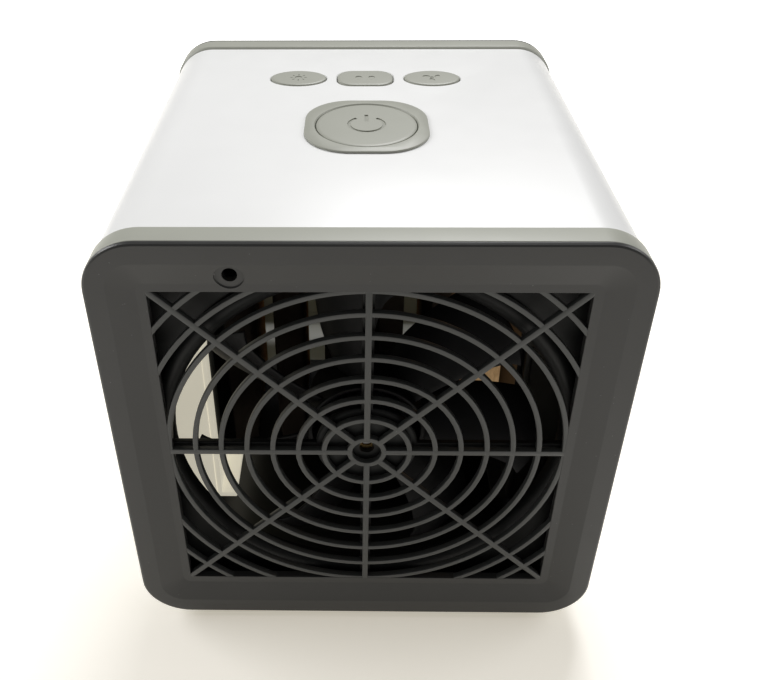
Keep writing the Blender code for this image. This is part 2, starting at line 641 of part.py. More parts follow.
def makeGuides(material):
    """A wall on each side with two shelves; its rear flange closes the gap to the shell."""
    rear = CASSETTE_Y + GAP + GUIDE_WALL
    shellSide = SHELL_HALF - SHELL_WALL - GAP
    wall = CASSETTE_HALF + GAP
    low, high = TRAY_LOW - GAP - GUIDE_WALL, CASSETTE_TOP
    for name, side in (("guide_left", 1), ("guide_right", -1)):
        shelf, ledge = wall - TRAY_SHELF, wall - CASSETTE_SHELF
        seat = CASSETTE_BOTTOM - GAP
        section = [
            (wall, low), (shelf, low), (shelf, low + GUIDE_WALL), (wall, low + GUIDE_WALL),
            (wall, seat - GUIDE_WALL), (ledge, seat - GUIDE_WALL), (ledge, seat), (wall, seat),
            (wall, high), (wall + GUIDE_WALL, high), (wall + GUIDE_WALL, low)]

        def build(work, section=section, side=side):
            stackLoops(work, [[(side * x, y, z) for x, z in section] for y in (GUIDE_FRONT, rear)],
                       closed=False)
        guide = addObject(name, meshFrom(name, build), material)
        xs = sorted((side * (wall + 0.05 * MM), side * shellSide))
        flange = box(name + "_flange", (xs[0], rear - GUIDE_WALL, low + 0.05 * MM),
                     (xs[1], rear - 0.03 * MM, high - 0.05 * MM))
        cutWith(guide, [flange], "UNION")


def makeTray(material):
    front = FRONT_Y + TRAY_DROP
    plateBack = front + TRAY_PLATE
    inner = TRAY_HALF - TRAY_WALL
    tray = box("water_tray", (-TRAY_HALF, plateBack - 1 * MM, TRAY_LOW),
               (TRAY_HALF, front + TRAY_DEPTH, TRAY_TOP), material)
    plate = box("tray_plate", (-TRAY_FRONT_HALF, front, TRAY_LOW - PLATE_BELOW),
                (TRAY_FRONT_HALF, plateBack, TRAY_TOP + PLATE_ABOVE))
    cutWith(tray, [plate], "UNION")
    hollow = box("cut_tray", (-inner, plateBack + TRAY_WALL, TRAY_LOW + TRAY_WALL),
                 (inner, front + TRAY_DEPTH - TRAY_WALL, TRAY_TOP + 1 * MM))
    gripY, gripZ = front - TRAY_PLATE, TRAY_LOW + GRIP_HEIGHT
    grip = rodAlong("cut_tray_grip", (-GRIP_HALF, gripY, gripZ), (GRIP_HALF, gripY, gripZ),
                    GRIP_RADIUS, steps=32)
    return cutWith(tray, [hollow, grip])


def makeFrontFrame(material):
    frame = squareRing("front_frame", frameProfile(-1, CHEEK_REACH, OPENING_HALF + CHEEK_WALL),
                       material)
    edge = OPENING_HALF + 1 * MM
    barFront = FRONT_Y + FUNNEL_DROP + 0.05 * MM
    bar = box("tray_bar", (-edge, barFront, BAR_LOW), (edge, FRONT_Y + 6 * MM, BAR_LOW + BAR_HEIGHT))
    cutWith(frame, [bar], "UNION")
    cutters = []
    for index in range(LOUVRE_COUNT):
        z = LOUVRE_LOW_Z + index * LOUVRE_PITCH
        reach = OPENING_HALF + CHEEK_WALL + 1 * MM
        cutters.append(rodAlong("cut_louvre_bore", (-reach, LOUVRE_Y, z), (reach, LOUVRE_Y, z),
                                LOUVRE_PIN + PIN_ROOM, steps=12))
    return cutWith(frame, cutters)


def makeLouvre(index, material):
    """A vane on two end pins, with a rear ear and pin for the link bar."""
    z = LOUVRE_LOW_Z + index * LOUVRE_PITCH
    half = LOUVRE_THICK / 2
    nose = [(LOUVRE_FRONT - half + half * math.sin(turn), half * math.cos(turn))
            for turn in np.linspace(0, math.pi, 6)]
    outline = nose + [(-LOUVRE_REAR, -half * 0.6), (-LOUVRE_REAR, half * 0.6)]

    def build(work):
        stackLoops(work, [[(x, -forward, up) for forward, up in outline]
                          for x in (-LOUVRE_HALF, LOUVRE_HALF)], closed=False)
    vane = addObject("louvre_%d" % (index + 1), meshFrom("louvre", build), material,
                     (0, LOUVRE_Y, z))
    pinReach = OPENING_HALF + CHEEK_WALL - 0.2 * MM
    pieces = [rodAlong("louvre_pin", (-pinReach, 0, 0), (pinReach, 0, 0), LOUVRE_PIN, steps=12)]
    earEnd = LINK_X - GAP
    pieces.append(box("louvre_ear", (earEnd - 2.5 * MM, LOUVRE_REAR - 1.5 * MM, -0.8 * MM),
                      (earEnd, LINK_ARM + 1.4 * MM, 0.8 * MM)))
    pieces.append(rodAlong("louvre_link_pin", (earEnd - 1 * MM, LINK_ARM, 0),
                           (LINK_X + LINK_THICK + 0.6 * MM, LINK_ARM, 0), LINK_PIN, steps=12))
    if index == LOUVRE_COUNT // 2:
        pieces.append(box("louvre_tab", (-4 * MM, -LOUVRE_FRONT - 2 * MM, -0.7 * MM),
                          (4 * MM, -LOUVRE_FRONT + 2 * MM, 0.7 * MM)))
    for piece in pieces:
        piece.location += Vector((0, LOUVRE_Y, z))
    return cutWith(vane, pieces, "UNION")


def makeLink(material):
    y = LOUVRE_Y + LINK_ARM
    top = LOUVRE_LOW_Z + (LOUVRE_COUNT - 1) * LOUVRE_PITCH
    outline = [(y - LINK_WIDTH / 2, LOUVRE_LOW_Z - 4 * MM), (y + LINK_WIDTH / 2, LOUVRE_LOW_Z - 4 * MM),
               (y + LINK_WIDTH / 2, top + 3.5 * MM), (y - LINK_WIDTH / 2, top + 3.5 * MM)]
    origin = Vector((LINK_X, y, LOUVRE_LOW_Z))

    def build(work):
        sides = (LINK_X, LINK_X + LINK_THICK)
        stackLoops(work, [[Vector((x, v, w)) - origin for v, w in outline] for x in sides],
                   closed=False)
    link = addObject("louvre_link", meshFrom("louvre_link", build), material, origin)
    cutters = []
    for index in range(LOUVRE_COUNT):
        z = LOUVRE_LOW_Z + index * LOUVRE_PITCH
        cutters.append(rodAlong("cut_link_bore", (LINK_X - 1 * MM, y, z),
                                (LINK_X + LINK_THICK + 1 * MM, y, z), LINK_PIN + GAP, steps=16))
    return cutWith(link, cutters)


def makePowerPad(bezelMaterial, buttonMaterial):
    top = TOP_Z + PAD_RISE
    skirtHalf = PAD_HALF - PAD_SEAT - GAP
    skirtLow = TOP_Z - PAD_SKIRT
    plate = roundedOutline(PAD_HALF, PAD_HALF, PAD_RADIUS)
    crown = roundedOutline(PAD_HALF - 0.5 * MM, PAD_HALF - 0.5 * MM, PAD_RADIUS - 0.5 * MM)
    skirt = roundedOutline(skirtHalf, skirtHalf, PAD_RADIUS - 0.75 * PAD_SEAT - GAP)
    bezel = stackAlongZ("power_bezel", [
        (skirt, skirtLow), (skirt, TOP_Z + GAP / 2), (plate, TOP_Z + GAP / 2), (plate, top - 0.5 * MM),
        (crown, top)], bezelMaterial, (0, POWER_Y, 0))
    cutWith(bezel, [rodAlong("cut_bezel", (0, POWER_Y, skirtLow - 5 * MM), (0, POWER_Y, top + 5 * MM),
                             POWER_RADIUS + GAP, steps=44)])
    flangeTop = skirtLow - GAP
    stemLow = BOARD_Z + GAP + SWITCH_HEIGHT + BUTTON_TRAVEL + GAP
    flangeLow = flangeTop - FLANGE_THICK

    def circle(radius):
        return ellipseOutline(radius, radius, 44)
    stem, flange = circle(2.5 * MM), circle(POWER_RADIUS + BUTTON_FLANGE)
    stackAlongZ("power_button", [
        (stem, stemLow), (stem, flangeLow), (flange, flangeLow), (flange, flangeTop),
        (circle(POWER_RADIUS), flangeTop), (circle(POWER_RADIUS), top - 0.4 * MM),
        (circle(POWER_RADIUS - 0.6 * MM), top)], buttonMaterial, (0, POWER_Y, 0))


def makeSmallButtons(material):
    flangeTop = TOP_Z - SHELL_WALL - GAP
    stemLow = BOARD_Z + GAP + SWITCH_HEIGHT + BUTTON_TRAVEL + GAP
    top = TOP_Z + BUTTON_RISE
    flangeLow = flangeTop - FLANGE_THICK
    for name, x, outline in smallButtonOutlines(0):
        def scaled(shift, outline=outline):
            return [(u * (1 + shift / SMALL_HALF_X), v * (1 + shift / SMALL_HALF_Y))
                    for u, v in outline]
        stem = [(u * 0.2, v * 0.28) for u, v in outline]
        stackAlongZ(name, [
            (stem, stemLow), (stem, flangeLow), (scaled(BUTTON_FLANGE), flangeLow),
            (scaled(BUTTON_FLANGE), flangeTop), (outline, flangeTop), (outline, top - 0.4 * MM),
            (scaled(-0.5 * MM), top)], material, (x, SMALL_Y, 0))


def makeBoard(boardMaterial, switchMaterial):
    box("control_board", (-BOARD_HALF, BOARD_FRONT, BOARD_Z - BOARD_THICK),
        (BOARD_HALF, BOARD_REAR, BOARD_Z), boardMaterial)
    places = [("power_switch", 0, POWER_Y)]
    for name, x, outline in smallButtonOutlines(0):
        places.append((name.replace("button", "switch"), x, SMALL_Y))
    half = SWITCH_SIDE / 2
    for name, x, y in places:
        box(name, (x - half, y - half, BOARD_Z + GAP), (x + half, y + half, BOARD_Z + GAP + SWITCH_HEIGHT),
            switchMaterial)


def makeFeet(material):
    top = AXIS_Z - SHELL_HALF - GAP
    tread = ellipseOutline(FOOT_RADIUS - 1 * MM, FOOT_RADIUS - 1 * MM)
    side = ellipseOutline(FOOT_RADIUS, FOOT_RADIUS)
    x, y = SHELL_HALF - FOOT_INSET_X, REAR_Y - FOOT_INSET_Y
    for index, place in enumerate(((-x, -y, 0), (-x, y, 0), (x, -y, 0), (x, y, 0))):
        stackAlongZ("foot_%d" % (index + 1), [(tread, 0), (side, 1 * MM), (side, top)], material, place)


def main():
    clearScene()
    white = makeMaterial("white_plastic", (0.85, 0.85, 0.83), 0.35)
    lightGrey = makeMaterial("light_grey_plastic", (0.46, 0.47, 0.43), 0.4)
    charcoal = makeMaterial("charcoal_plastic", (0.045, 0.043, 0.041), 0.4)
    black = makeMaterial("black_plastic", (0.012, 0.012, 0.013), 0.35)
    cream = makeMaterial("cream_plastic", (0.62, 0.58, 0.45), 0.5)
    kraft = makeMaterial("kraft_paper", (0.43, 0.27, 0.13), 0.9)
    steel = makeMaterial("steel", (0.5, 0.5, 0.5), 0.3, 1.0)
    brass = makeMaterial("brass", (0.6, 0.42, 0.15), 0.35, 1.0)
    boardGreen = makeMaterial("board_green", (0.02, 0.12, 0.05), 0.4)
    rubber = makeMaterial("rubber", (0.03, 0.03, 0.03), 0.85)
    makeShell(white)
    makeRims(lightGrey)
    makeRearGrille(charcoal)
    makeJack(black, brass)
    makeShroud(charcoal)
    makeBracket(charcoal, steel)
    makeMotor(steel, brass, steel)
    makeImpeller(black)
    makeCassette(charcoal, kraft)
    makeGuides(cream)
    makeTray(lightGrey)
    makeFrontFrame(charcoal)
    for index in range(LOUVRE_COUNT):
        makeLouvre(index, charcoal)
    makeLink(charcoal)
    makePowerPad(lightGrey, lightGrey)
    makeSmallButtons(lightGrey)
    makeBoard(boardGreen, black)
    makeFeet(rubber)


main()
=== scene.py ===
import math

import bmesh
import bpy
from mathutils import Matrix, Vector


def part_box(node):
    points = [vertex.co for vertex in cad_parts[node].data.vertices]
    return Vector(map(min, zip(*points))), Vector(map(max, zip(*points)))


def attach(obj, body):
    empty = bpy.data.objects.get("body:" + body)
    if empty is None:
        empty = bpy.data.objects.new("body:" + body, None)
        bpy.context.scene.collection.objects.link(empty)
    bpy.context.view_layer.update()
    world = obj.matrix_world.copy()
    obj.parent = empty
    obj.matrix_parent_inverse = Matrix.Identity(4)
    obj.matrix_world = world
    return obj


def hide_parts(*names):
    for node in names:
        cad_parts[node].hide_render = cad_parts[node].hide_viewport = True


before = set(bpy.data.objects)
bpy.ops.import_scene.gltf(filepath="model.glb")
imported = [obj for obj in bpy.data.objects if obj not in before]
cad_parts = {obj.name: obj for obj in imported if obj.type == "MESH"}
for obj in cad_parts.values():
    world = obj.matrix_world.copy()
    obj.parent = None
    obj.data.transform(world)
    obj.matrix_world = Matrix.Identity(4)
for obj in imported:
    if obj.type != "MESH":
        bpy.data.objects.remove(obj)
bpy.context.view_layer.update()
print("frame loaded")

mm = 0.001
turn = 2 * math.pi
gap = 0.3 * mm                        # between touching pieces
grilleLow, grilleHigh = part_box("rear_grille")
rearY = grilleHigh[1]
axisZ = (grilleLow[2] + grilleHigh[2]) / 2       # height of the fan's axis
frameHalf = grilleHigh[0]


# A shader socket that adds Math nodes when it stands in an expression
class Wire:
    def __init__(self, paint, socket):
        self.paint, self.socket = paint, socket

    def math(self, operation, *values):
        return self.paint.add("Math", {"operation": operation}, dict(enumerate(values)))

    def __add__(self, other):
        return self.math("ADD", self, other)

    def __sub__(self, other):
        return self.math("SUBTRACT", self, other)

    def __rsub__(self, other):
        return self.math("SUBTRACT", other, self)

    def __mul__(self, other):
        return self.math("MULTIPLY", self, other)

    def __gt__(self, other):
        return self.math("GREATER_THAN", self, other)

    def __lt__(self, other):
        return self.math("LESS_THAN", self, other)

    def __abs__(self):
        return self.math("ABSOLUTE", self)

    __radd__ = __add__
    __rmul__ = __mul__

    def atLeast(self, other):
        return self.math("MAXIMUM", self, other)

    def clamp(self):
        return self.math("MINIMUM", self, 1.0).atLeast(0.0)

    def part(self, name):
        return Wire(self.paint, self.socket.node.outputs[name])


def pick(sockets, key):
    if isinstance(key, int):
        return sockets[key]
    return [socket for socket in sockets if socket.enabled and socket.name == key][0]


# The nodes of one material, or of the world
class Paint:
    def __init__(self, owner):
        owner.use_nodes = True
        self.owner, self.tree = owner, owner.node_tree
        self.place = self.add("TexCoord", output="Object")

    def add(self, kind, settings=None, inputs=None, output=0):
        node = self.tree.nodes.new("ShaderNode" + kind)
        for name, value in (settings or {}).items():
            if name == "stops":
                while len(node.color_ramp.elements) < len(value):
                    node.color_ramp.elements.new(0.5)
                for element, (position, colour) in zip(node.color_ramp.elements, value):
                    element.position, element.color = position, (*colour, 1)
            else:
                setattr(node, name, value)
        for key, value in (inputs or {}).items():
            self.feed(pick(node.inputs, key), value)
        return Wire(self, pick(node.outputs, output))

    def feed(self, socket, value):
        if isinstance(value, Wire):
            self.tree.links.new(value.socket, socket)
        elif isinstance(value, tuple) and socket.type == "RGBA":
            socket.default_value = (*value, 1)
        else:
            socket.default_value = value

    def set(self, **values):
        for name, value in values.items():
            self.feed(self.tree.nodes["Principled BSDF"].inputs[name.replace("_", " ")], value)

    def noise(self, scale, detail=3.0, roughness=0.55, stretch=(1, 1, 1)):
        spread = self.add("Mapping", None, {"Vector": self.place, "Scale": stretch})
        return self.add("TexNoise", None, {"Vector": spread, "Scale": scale, "Detail": detail,
                                           "Roughness": roughness})

    def ramp(self, factor, stops):
        return self.add("ValToRGB", {"stops": stops}, {0: factor})

    def blend(self, factor, first, second):
        return self.add("Mix", {"data_type": "RGBA"}, {"Factor": factor, "A": first, "B": second},
                        "Result")

    def bump(self, height, strength, distance):
        self.set(Normal=self.add("Bump", None, {"Strength": strength, "Distance": distance,
                                                "Height": height}))


plastic = {"cloudScale": 28.0, "grainScale": 2600.0, "grainDepth": 0.06 * mm, "glossScale": 90.0,
           "glossSpread": 0.1, "speckScale": 420.0, "speckSize": 0.055, "dustyScale": 60.0,
           "dustyFrom": 0.55}
# Painted shade inside the shell: its inner walls and everything nearer the axis take this near-black
# colour, while its outer faces lie beyond the reach
insideShade = {"colour": (0.012, 0.012, 0.012), "cornerStart": 66 * mm, "reach": 15 * mm}


# Moulded plastic: faint flow marks and fine grain, a few dust specks, painted shade over the inside of the
# shell, and a glow of painted light where one is given
def moulded(name, colour, roughness, grain, variation=0.06, dust=0.0, glow=0.0, shine=0.5,
            shadedInside=False):
    paint = Paint(bpy.data.materials.new(name))
    lighter = tuple(min(1.0, part * (1 + variation)) for part in colour)
    darker = tuple(part * (1 - variation) for part in colour)
    base = paint.ramp(paint.noise(plastic["cloudScale"], 4.0), [(0.3, darker), (0.7, lighter)])
    if dust:
        cells = paint.add("TexVoronoi", None, {"Vector": paint.place, "Scale": plastic["speckScale"]})
        dusty = paint.noise(plastic["dustyScale"], 1.0) > plastic["dustyFrom"]
        specks = (1.0 - (cells > plastic["speckSize"])) * dusty
        base = paint.blend(specks * dust, base, tuple(0.5 + 0.3 * part for part in colour))
    # Painted shade over the inside of the shell
    if shadedInside:
        spot = paint.add("SeparateXYZ", None, {0: paint.place})
        beyond = [(abs(wire) - insideShade["cornerStart"]).atLeast(0.0)
                  for wire in (spot, spot.part("Z") - axisZ)]
        across = beyond[0] * beyond[0] + beyond[1] * beyond[1]
        base = paint.blend(1.0 - (across > insideShade["reach"] ** 2), base, insideShade["colour"])
    gloss = paint.noise(plastic["glossScale"], 3.0) * plastic["glossSpread"]
    paint.set(Base_Color=base, Roughness=gloss + (roughness - plastic["glossSpread"] / 2),
              Emission_Color=base, Emission_Strength=glow, Specular_IOR_Level=shine)
    paint.bump(paint.noise(plastic["grainScale"], 2.0), grain, plastic["grainDepth"])
    return paint.owner


# Paper colours, the painted shade of its rear part, the strength of its painted glow, and where the lit
# side starts
kraft = {"light": (0.52, 0.34, 0.17), "dark": (0.30, 0.175, 0.08), "shade": (0.03, 0.02, 0.012),
         "glow": 0.45, "litFrom": -30 * mm}


# Kraft paper: its rear part is painted dark shade, except on the side toward the light, where it glows in
# its own colour with painted light instead
def kraftPaper():
    paint = Paint(bpy.data.materials.new("kraftPaper"))
    fibre = paint.noise(900.0, 5.0, 0.7, (1, 1, 0.25))
    blot = paint.noise(70.0, 3.0)
    dry = paint.ramp(fibre * 0.6 + blot * 0.4, [(0.35, kraft["dark"]), (0.65, kraft["light"])])
    spot = paint.add("SeparateXYZ", None, {0: paint.place})
    lit = ((spot - kraft["litFrom"]) * -90.0).clamp()
    rearward = (spot.part("Y") * 60.0).clamp()
    paint.set(Base_Color=paint.blend(rearward * (1.0 - lit), dry, kraft["shade"]), Roughness=0.9,
              Emission_Color=paint.blend(lit * rearward, (0.0, 0.0, 0.0), dry),
              Emission_Strength=kraft["glow"])
    paint.bump(fibre, 0.5, 0.2 * mm)
    return paint.owner


def metal(name, colour, roughness):
    paint = Paint(bpy.data.materials.new(name))
    streak = paint.noise(1400.0, 3.0, 0.6, (1, 12, 1))
    dark = tuple(part * 0.8 for part in colour)
    paint.set(Base_Color=paint.ramp(streak, [(0.3, dark), (0.7, colour)]),
              Roughness=roughness + streak * 0.15, Metallic=1.0)
    paint.bump(streak, 0.15, 0.05 * mm)
    return paint.owner


def boardLaminate():
    paint = Paint(bpy.data.materials.new("boardLaminate"))
    cells = paint.add("TexVoronoi", {"feature": "DISTANCE_TO_EDGE"}, {"Vector": paint.place,
                                                                      "Scale": 320.0})
    track = 1.0 - (cells > 0.06)
    paint.set(Base_Color=paint.blend(track, (0.012, 0.09, 0.035), (0.03, 0.17, 0.07)),
              Roughness=0.35)
    paint.bump(track, 0.4, 0.03 * mm)
    return paint.owner


materials = {
    # The shell's inside is painted near-black shade; its outside keeps the white
    "shell": moulded("shellWhite", (0.86, 0.86, 0.85), 0.34, 0.12, variation=0.008, shadedInside=True),
    "grey": moulded("rimGrey", (0.36, 0.365, 0.315), 0.42, 0.2, variation=0.02),
    "charcoal": moulded("frameCharcoal", (0.036, 0.036, 0.0345), 0.36, 0.3, 0.05, dust=0.25),
    "rib": moulded("ribCharcoal", (0.056, 0.058, 0.055), 0.36, 0.3, 0.05, dust=0.25),
    "black": moulded("fanBlack", (0.005, 0.005, 0.0055), 0.5, 0.15, 0.1, shine=0.2),
    "shroud": moulded("shroudBlack", (0.008, 0.0085, 0.0085), 0.5, 0.2, 0.08, shine=0.25),
    # The guide cream glows with painted light, standing in for light that reaches it through the fan;
    # creamShade is a dark copy of it, painted shade for the guide on the other side
    "cream": moulded("guideCream", (0.66, 0.62, 0.5), 0.5, 0.2, variation=0.03, glow=0.75),
    "creamShade": moulded("guideCreamShade", (0.05, 0.047, 0.038), 0.6, 0.2, variation=0.05),
    "kraft": kraftPaper(),
    "steel": metal("motorSteel", (0.55, 0.55, 0.57), 0.3),
    "brass": metal("bushBrass", (0.7, 0.48, 0.2), 0.35),
    "board": boardLaminate(),
    "rubber": moulded("footRubber", (0.03, 0.03, 0.03), 0.8, 0.5, variation=0.2),
    # Dark grey for the sunk symbols' grooves: partly print, partly painted shade in the grooves
    "ink": moulded("symbolInkAndShade", (0.20, 0.205, 0.17), 0.6, 0.2, variation=0.05),
}
print("materials made")


# Turns a bmesh into a smooth-shaded piece that rides on a body
def finish(name, work, body, nodes=(), sharp=30, skins=("charcoal",)):
    bmesh.ops.recalc_face_normals(work, faces=work.faces)
    mesh = bpy.data.meshes.new(name)
    work.to_mesh(mesh)
    work.free()
    piece = bpy.data.objects.new(name, mesh)
    bpy.context.scene.collection.objects.link(piece)
    for skin in skins:
        mesh.materials.append(materials[skin])
    mesh.shade_smooth()
    mesh.set_sharp_from_angle(angle=math.radians(sharp))
    if body:
        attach(piece, body)
    if nodes:
        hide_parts(*nodes)
    return piece


# Applies a boolean with each tool, then drops the tools
def carve(piece, tools, operation="DIFFERENCE", sharp=30, ownFaces=False):
    for tool in tools:
        step = piece.modifiers.new(tool.name, "BOOLEAN")
        step.operation = operation
        step.solver = "EXACT"
        step.use_self = ownFaces
        step.object = tool
    graph = bpy.context.evaluated_depsgraph_get()
    mesh = bpy.data.meshes.new_from_object(piece.evaluated_get(graph))
    piece.modifiers.clear()
    piece.data = mesh
    mesh.shade_smooth()
    mesh.set_sharp_from_angle(angle=math.radians(sharp))
    for tool in tools:
        bpy.data.objects.remove(tool, do_unlink=True)
    return piece


def roundedPoints(halfU, halfV, radius, steps):
    points = []
    for corner in range(4):
        middle = (corner + 0.5) * turn / 4
        centreU = math.copysign(halfU - radius, math.cos(middle))
        centreV = math.copysign(halfV - radius, math.sin(middle))
        for step in range(steps + 1):
            angle = (corner + step / steps) * turn / 4
            points.append((centreU + radius * math.cos(angle), centreV + radius * math.sin(angle)))
    return points


def ovalPoints(halfU, halfV, count=72):
    angles = [turn * (index + 0.5) / count for index in range(count)]
    return [(halfU * math.cos(angle), halfV * math.sin(angle)) for angle in angles]


# Extrudes a ring of edges from outline to outline, each a list of as many points
def sweep(work, outlines, closed):
    number = work.verts.layers.int.get("number") or work.verts.layers.int.new("number")
    ring = bmesh.ops.create_circle(work, cap_ends=not closed, radius=1, segments=len(outlines[0]))
    verts = ring["verts"]
    for index, vert in enumerate(verts):
        vert[number] = index
        vert.co = outlines[0][index]
    made = list(verts)
    edges = list({edge for vert in verts for edge in vert.link_edges})
    for outline in outlines[1:] + (outlines[:1] if closed else []):
        grown = bmesh.ops.extrude_edge_only(work, edges=edges)["geom"]
        edges = [part for part in grown if isinstance(part, bmesh.types.BMEdge)]
        for vert in grown:
            if isinstance(vert, bmesh.types.BMVert):
                vert.co = outline[vert[number]]
                made.append(vert)
    if closed:
        bmesh.ops.remove_doubles(work, verts=made, dist=0.001 * mm)
    else:
        bmesh.ops.edgeloop_fill(work, edges=edges)


def standing(points, y):
    return [(u, y, axisZ + v) for u, v in points]


# Rounds each corner of a profile by a short curve over at most width of its sides
def eased(profile, width, steps=3, closed=True):
    points = [Vector(point) for point in profile]
    count = len(points)
    made = []
    for index, point in enumerate(points):
        if not closed and index in (0, count - 1):
            made.append(point)
            continue
        before, after = points[index - 1] - point, points[(index + 1) % count] - point
        start = point + before.normalized() * min(width, before.length * 0.4)
        end = point + after.normalized() * min(width, after.length * 0.4)
        for step in range(steps + 1):
            share = step / steps
            made.append(start * (1 - share) ** 2 + point * 2 * share * (1 - share) + end * share ** 2)
    return made


# Sweeps a closed profile of (half width, corner radius, y) round the fan's axis
def squareSweep(work, profile, steps):
    outlines = []
    for index, (half, radius, y) in enumerate(profile):
        if Vector(profile[index]) != Vector(profile[index - 1]):
            outlines.append(standing(roundedPoints(half, half, max(radius, 0.2 * mm), steps), y))
    sweep(work, outlines, closed=True)


# Stacks level outlines; each station is (size, z), and outline(size) gives the points
def levelStack(work, outline, stations, centre=(0, 0)):
    sweep(work, [[(centre[0] + u, centre[1] + v, z) for u, v in outline(size)] for size, z in stations],
          closed=False)


# Turns a closed profile of (radius, y) round a line along Y through the centre
def spinY(work, profile, centre, steps):
    corners = [work.verts.new((centre[0] + radius, y, centre[2])) for radius, y in profile]
    edges = [work.edges.new((corners[i - 1], corners[i])) for i in range(len(corners))]
    bmesh.ops.spin(work, geom=corners + edges, cent=centre, axis=(0, 1, 0), angle=turn, steps=steps,
                   use_merge=True)


# A box between two corners with its edges rounded
def block(work, low, high, soft=0.0, steps=2):
    low, high = Vector(low), Vector(high)
    cube = bmesh.ops.create_cube(work, size=1)
    bmesh.ops.scale(work, vec=high - low, verts=cube["verts"])
    bmesh.ops.translate(work, vec=(low + high) / 2, verts=cube["verts"])
    if soft:
        edges = list({edge for vert in cube["verts"] for edge in vert.link_edges})
        bmesh.ops.bevel(work, geom=edges, offset=soft, segments=steps, profile=0.5, affect="EDGES",
                        material=-1)


# A cylinder from point to point, to cut a hole or to add a pin
def drill(name, start, end, radius, steps=48):
    start, end = Vector(start), Vector(end)
    work = bmesh.new()
    along = (end - start).to_track_quat("Z", "Y").to_matrix().to_4x4()
    matrix = Matrix.Translation((start + end) / 2) @ along
    bmesh.ops.create_cone(work, cap_ends=True, segments=steps, radius1=radius, radius2=radius,
                          depth=(end - start).length, matrix=matrix)
    return finish(name, work, None)


# Gives a piece made with tools one finish
def dress(piece, skin):
    piece.data.materials.clear()
    piece.data.materials.append(materials[skin])


view = {"place": (4.7 * mm, rearY + 199 * mm, axisZ + 207 * mm), "heading": 181.03, "down": 33.2,
        "roll": -0.43, "lens": 39.84375, "sensor": 36, "shift": (0.057, -0.1004), "near": 10 * mm}


def makeCamera():
    camera = bpy.data.objects.new("camera", bpy.data.cameras.new("camera"))
    bpy.context.scene.collection.objects.link(camera)
    camera.data.lens, camera.data.sensor_width = view["lens"], view["sensor"]
    camera.data.shift_x, camera.data.shift_y = view["shift"]
    camera.data.clip_start = view["near"]
    camera.matrix_world = (Matrix.Translation(view["place"])
                           @ Matrix.Rotation(math.radians(view["heading"]), 4, "Z")
                           @ Matrix.Rotation(math.radians(90 - view["down"]), 4, "X")
                           @ Matrix.Rotation(math.radians(view["roll"]), 4, "Z"))
    bpy.context.scene.camera = camera


ground = {"half": 3.0, "colour": (0.88, 0.87, 0.85), "near": (1.0, 0.92, 0.76), "far": (2.4, 2.4, 2.4),
          "farFrom": 0.3, "fade": 4.0, "strength": 0.42}


# The floor takes the shadow, and its own light is only for the camera, reflections and glass
def makeFloor():
    work = bmesh.new()
    bmesh.ops.create_grid(work, x_segments=1, y_segments=1, size=ground["half"])
    floor = finish("floor", work, None)
    paint = Paint(bpy.data.materials.new("floorWhite"))
    rays = paint.add("LightPath", output="Is Camera Ray")
    seen = rays.atLeast(rays.part("Is Glossy Ray")).atLeast(rays.part("Is Transmission Ray"))
    spot = paint.add("SeparateXYZ", None, {0: paint.place})
    square = spot * spot + spot.part("Y") * spot.part("Y")
    distance = square.math("SQRT", square)
    far = ((distance - ground["farFrom"]) * ground["fade"]).clamp() * rays
    glow = paint.blend(far, ground["near"], ground["far"])
    paint.set(Base_Color=ground["colour"], Roughness=0.9, Emission_Strength=ground["strength"],
              Emission_Color=paint.blend(seen, (0.0, 0.0, 0.0), glow))
    floor.data.materials.clear()
    floor.data.materials.append(paint.owner)


# Name, place, size and power of each lamp
lamps = [("key", (-0.35, -1.5, 2.1), 0.9, 38.5), ("left", (1.3, -0.25, 0.9), 0.8, 12.5),
         ("right", (-1.3, -0.2, 0.9), 0.8, 6.5)]
sky = {"light": 0.2, "seen": 1.0}


def makeLights():
    aim = Vector((0, 0, axisZ))
    for name, place, size, power in lamps:
        lamp = bpy.data.objects.new(name, bpy.data.lights.new(name, "AREA"))
        lamp.data.size, lamp.data.energy = size, power
        lamp.location = place
        lamp.rotation_euler = (aim - Vector(place)).to_track_quat("-Z", "Y").to_euler()
        bpy.context.scene.collection.objects.link(lamp)
    paint = Paint(bpy.data.worlds.new("studio"))
    plain, white = (paint.add("Background", None, {0: (1.0, 1.0, 1.0), 1: sky[name]})
                    for name in ("light", "seen"))
    seen = paint.add("LightPath", output="Is Camera Ray")
    mixed = paint.add("MixShader", None, {0: seen, 1: plain, 2: white})
    paint.feed(paint.tree.nodes["World Output"].inputs[0], mixed)
    bpy.context.scene.world = paint.owner
    bpy.context.scene.view_settings.view_transform = "Standard"


makeCamera()
makeFloor()
makeLights()
print("camera, floor and lights set")


shell = {"half": frameHalf - 0.8 * mm, "radius": 16.2 * mm, "wall": 2.4 * mm, "ledge": 2.8 * mm,
         "ledgeThick": 2 * mm, "ease": 0.4 * mm, "steps": 14, "cutDepth": 10 * mm, "cutAbove": 2 * mm,
         "padHole": 20 * mm, "padHoleInset": 5 * mm, "postX": 42 * mm, "postInset": 6 * mm,
         "postRadius": 2.5 * mm}


def middleXY(name):
    low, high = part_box(name)
    return (low[0] + high[0]) / 2, (low[1] + high[1]) / 2


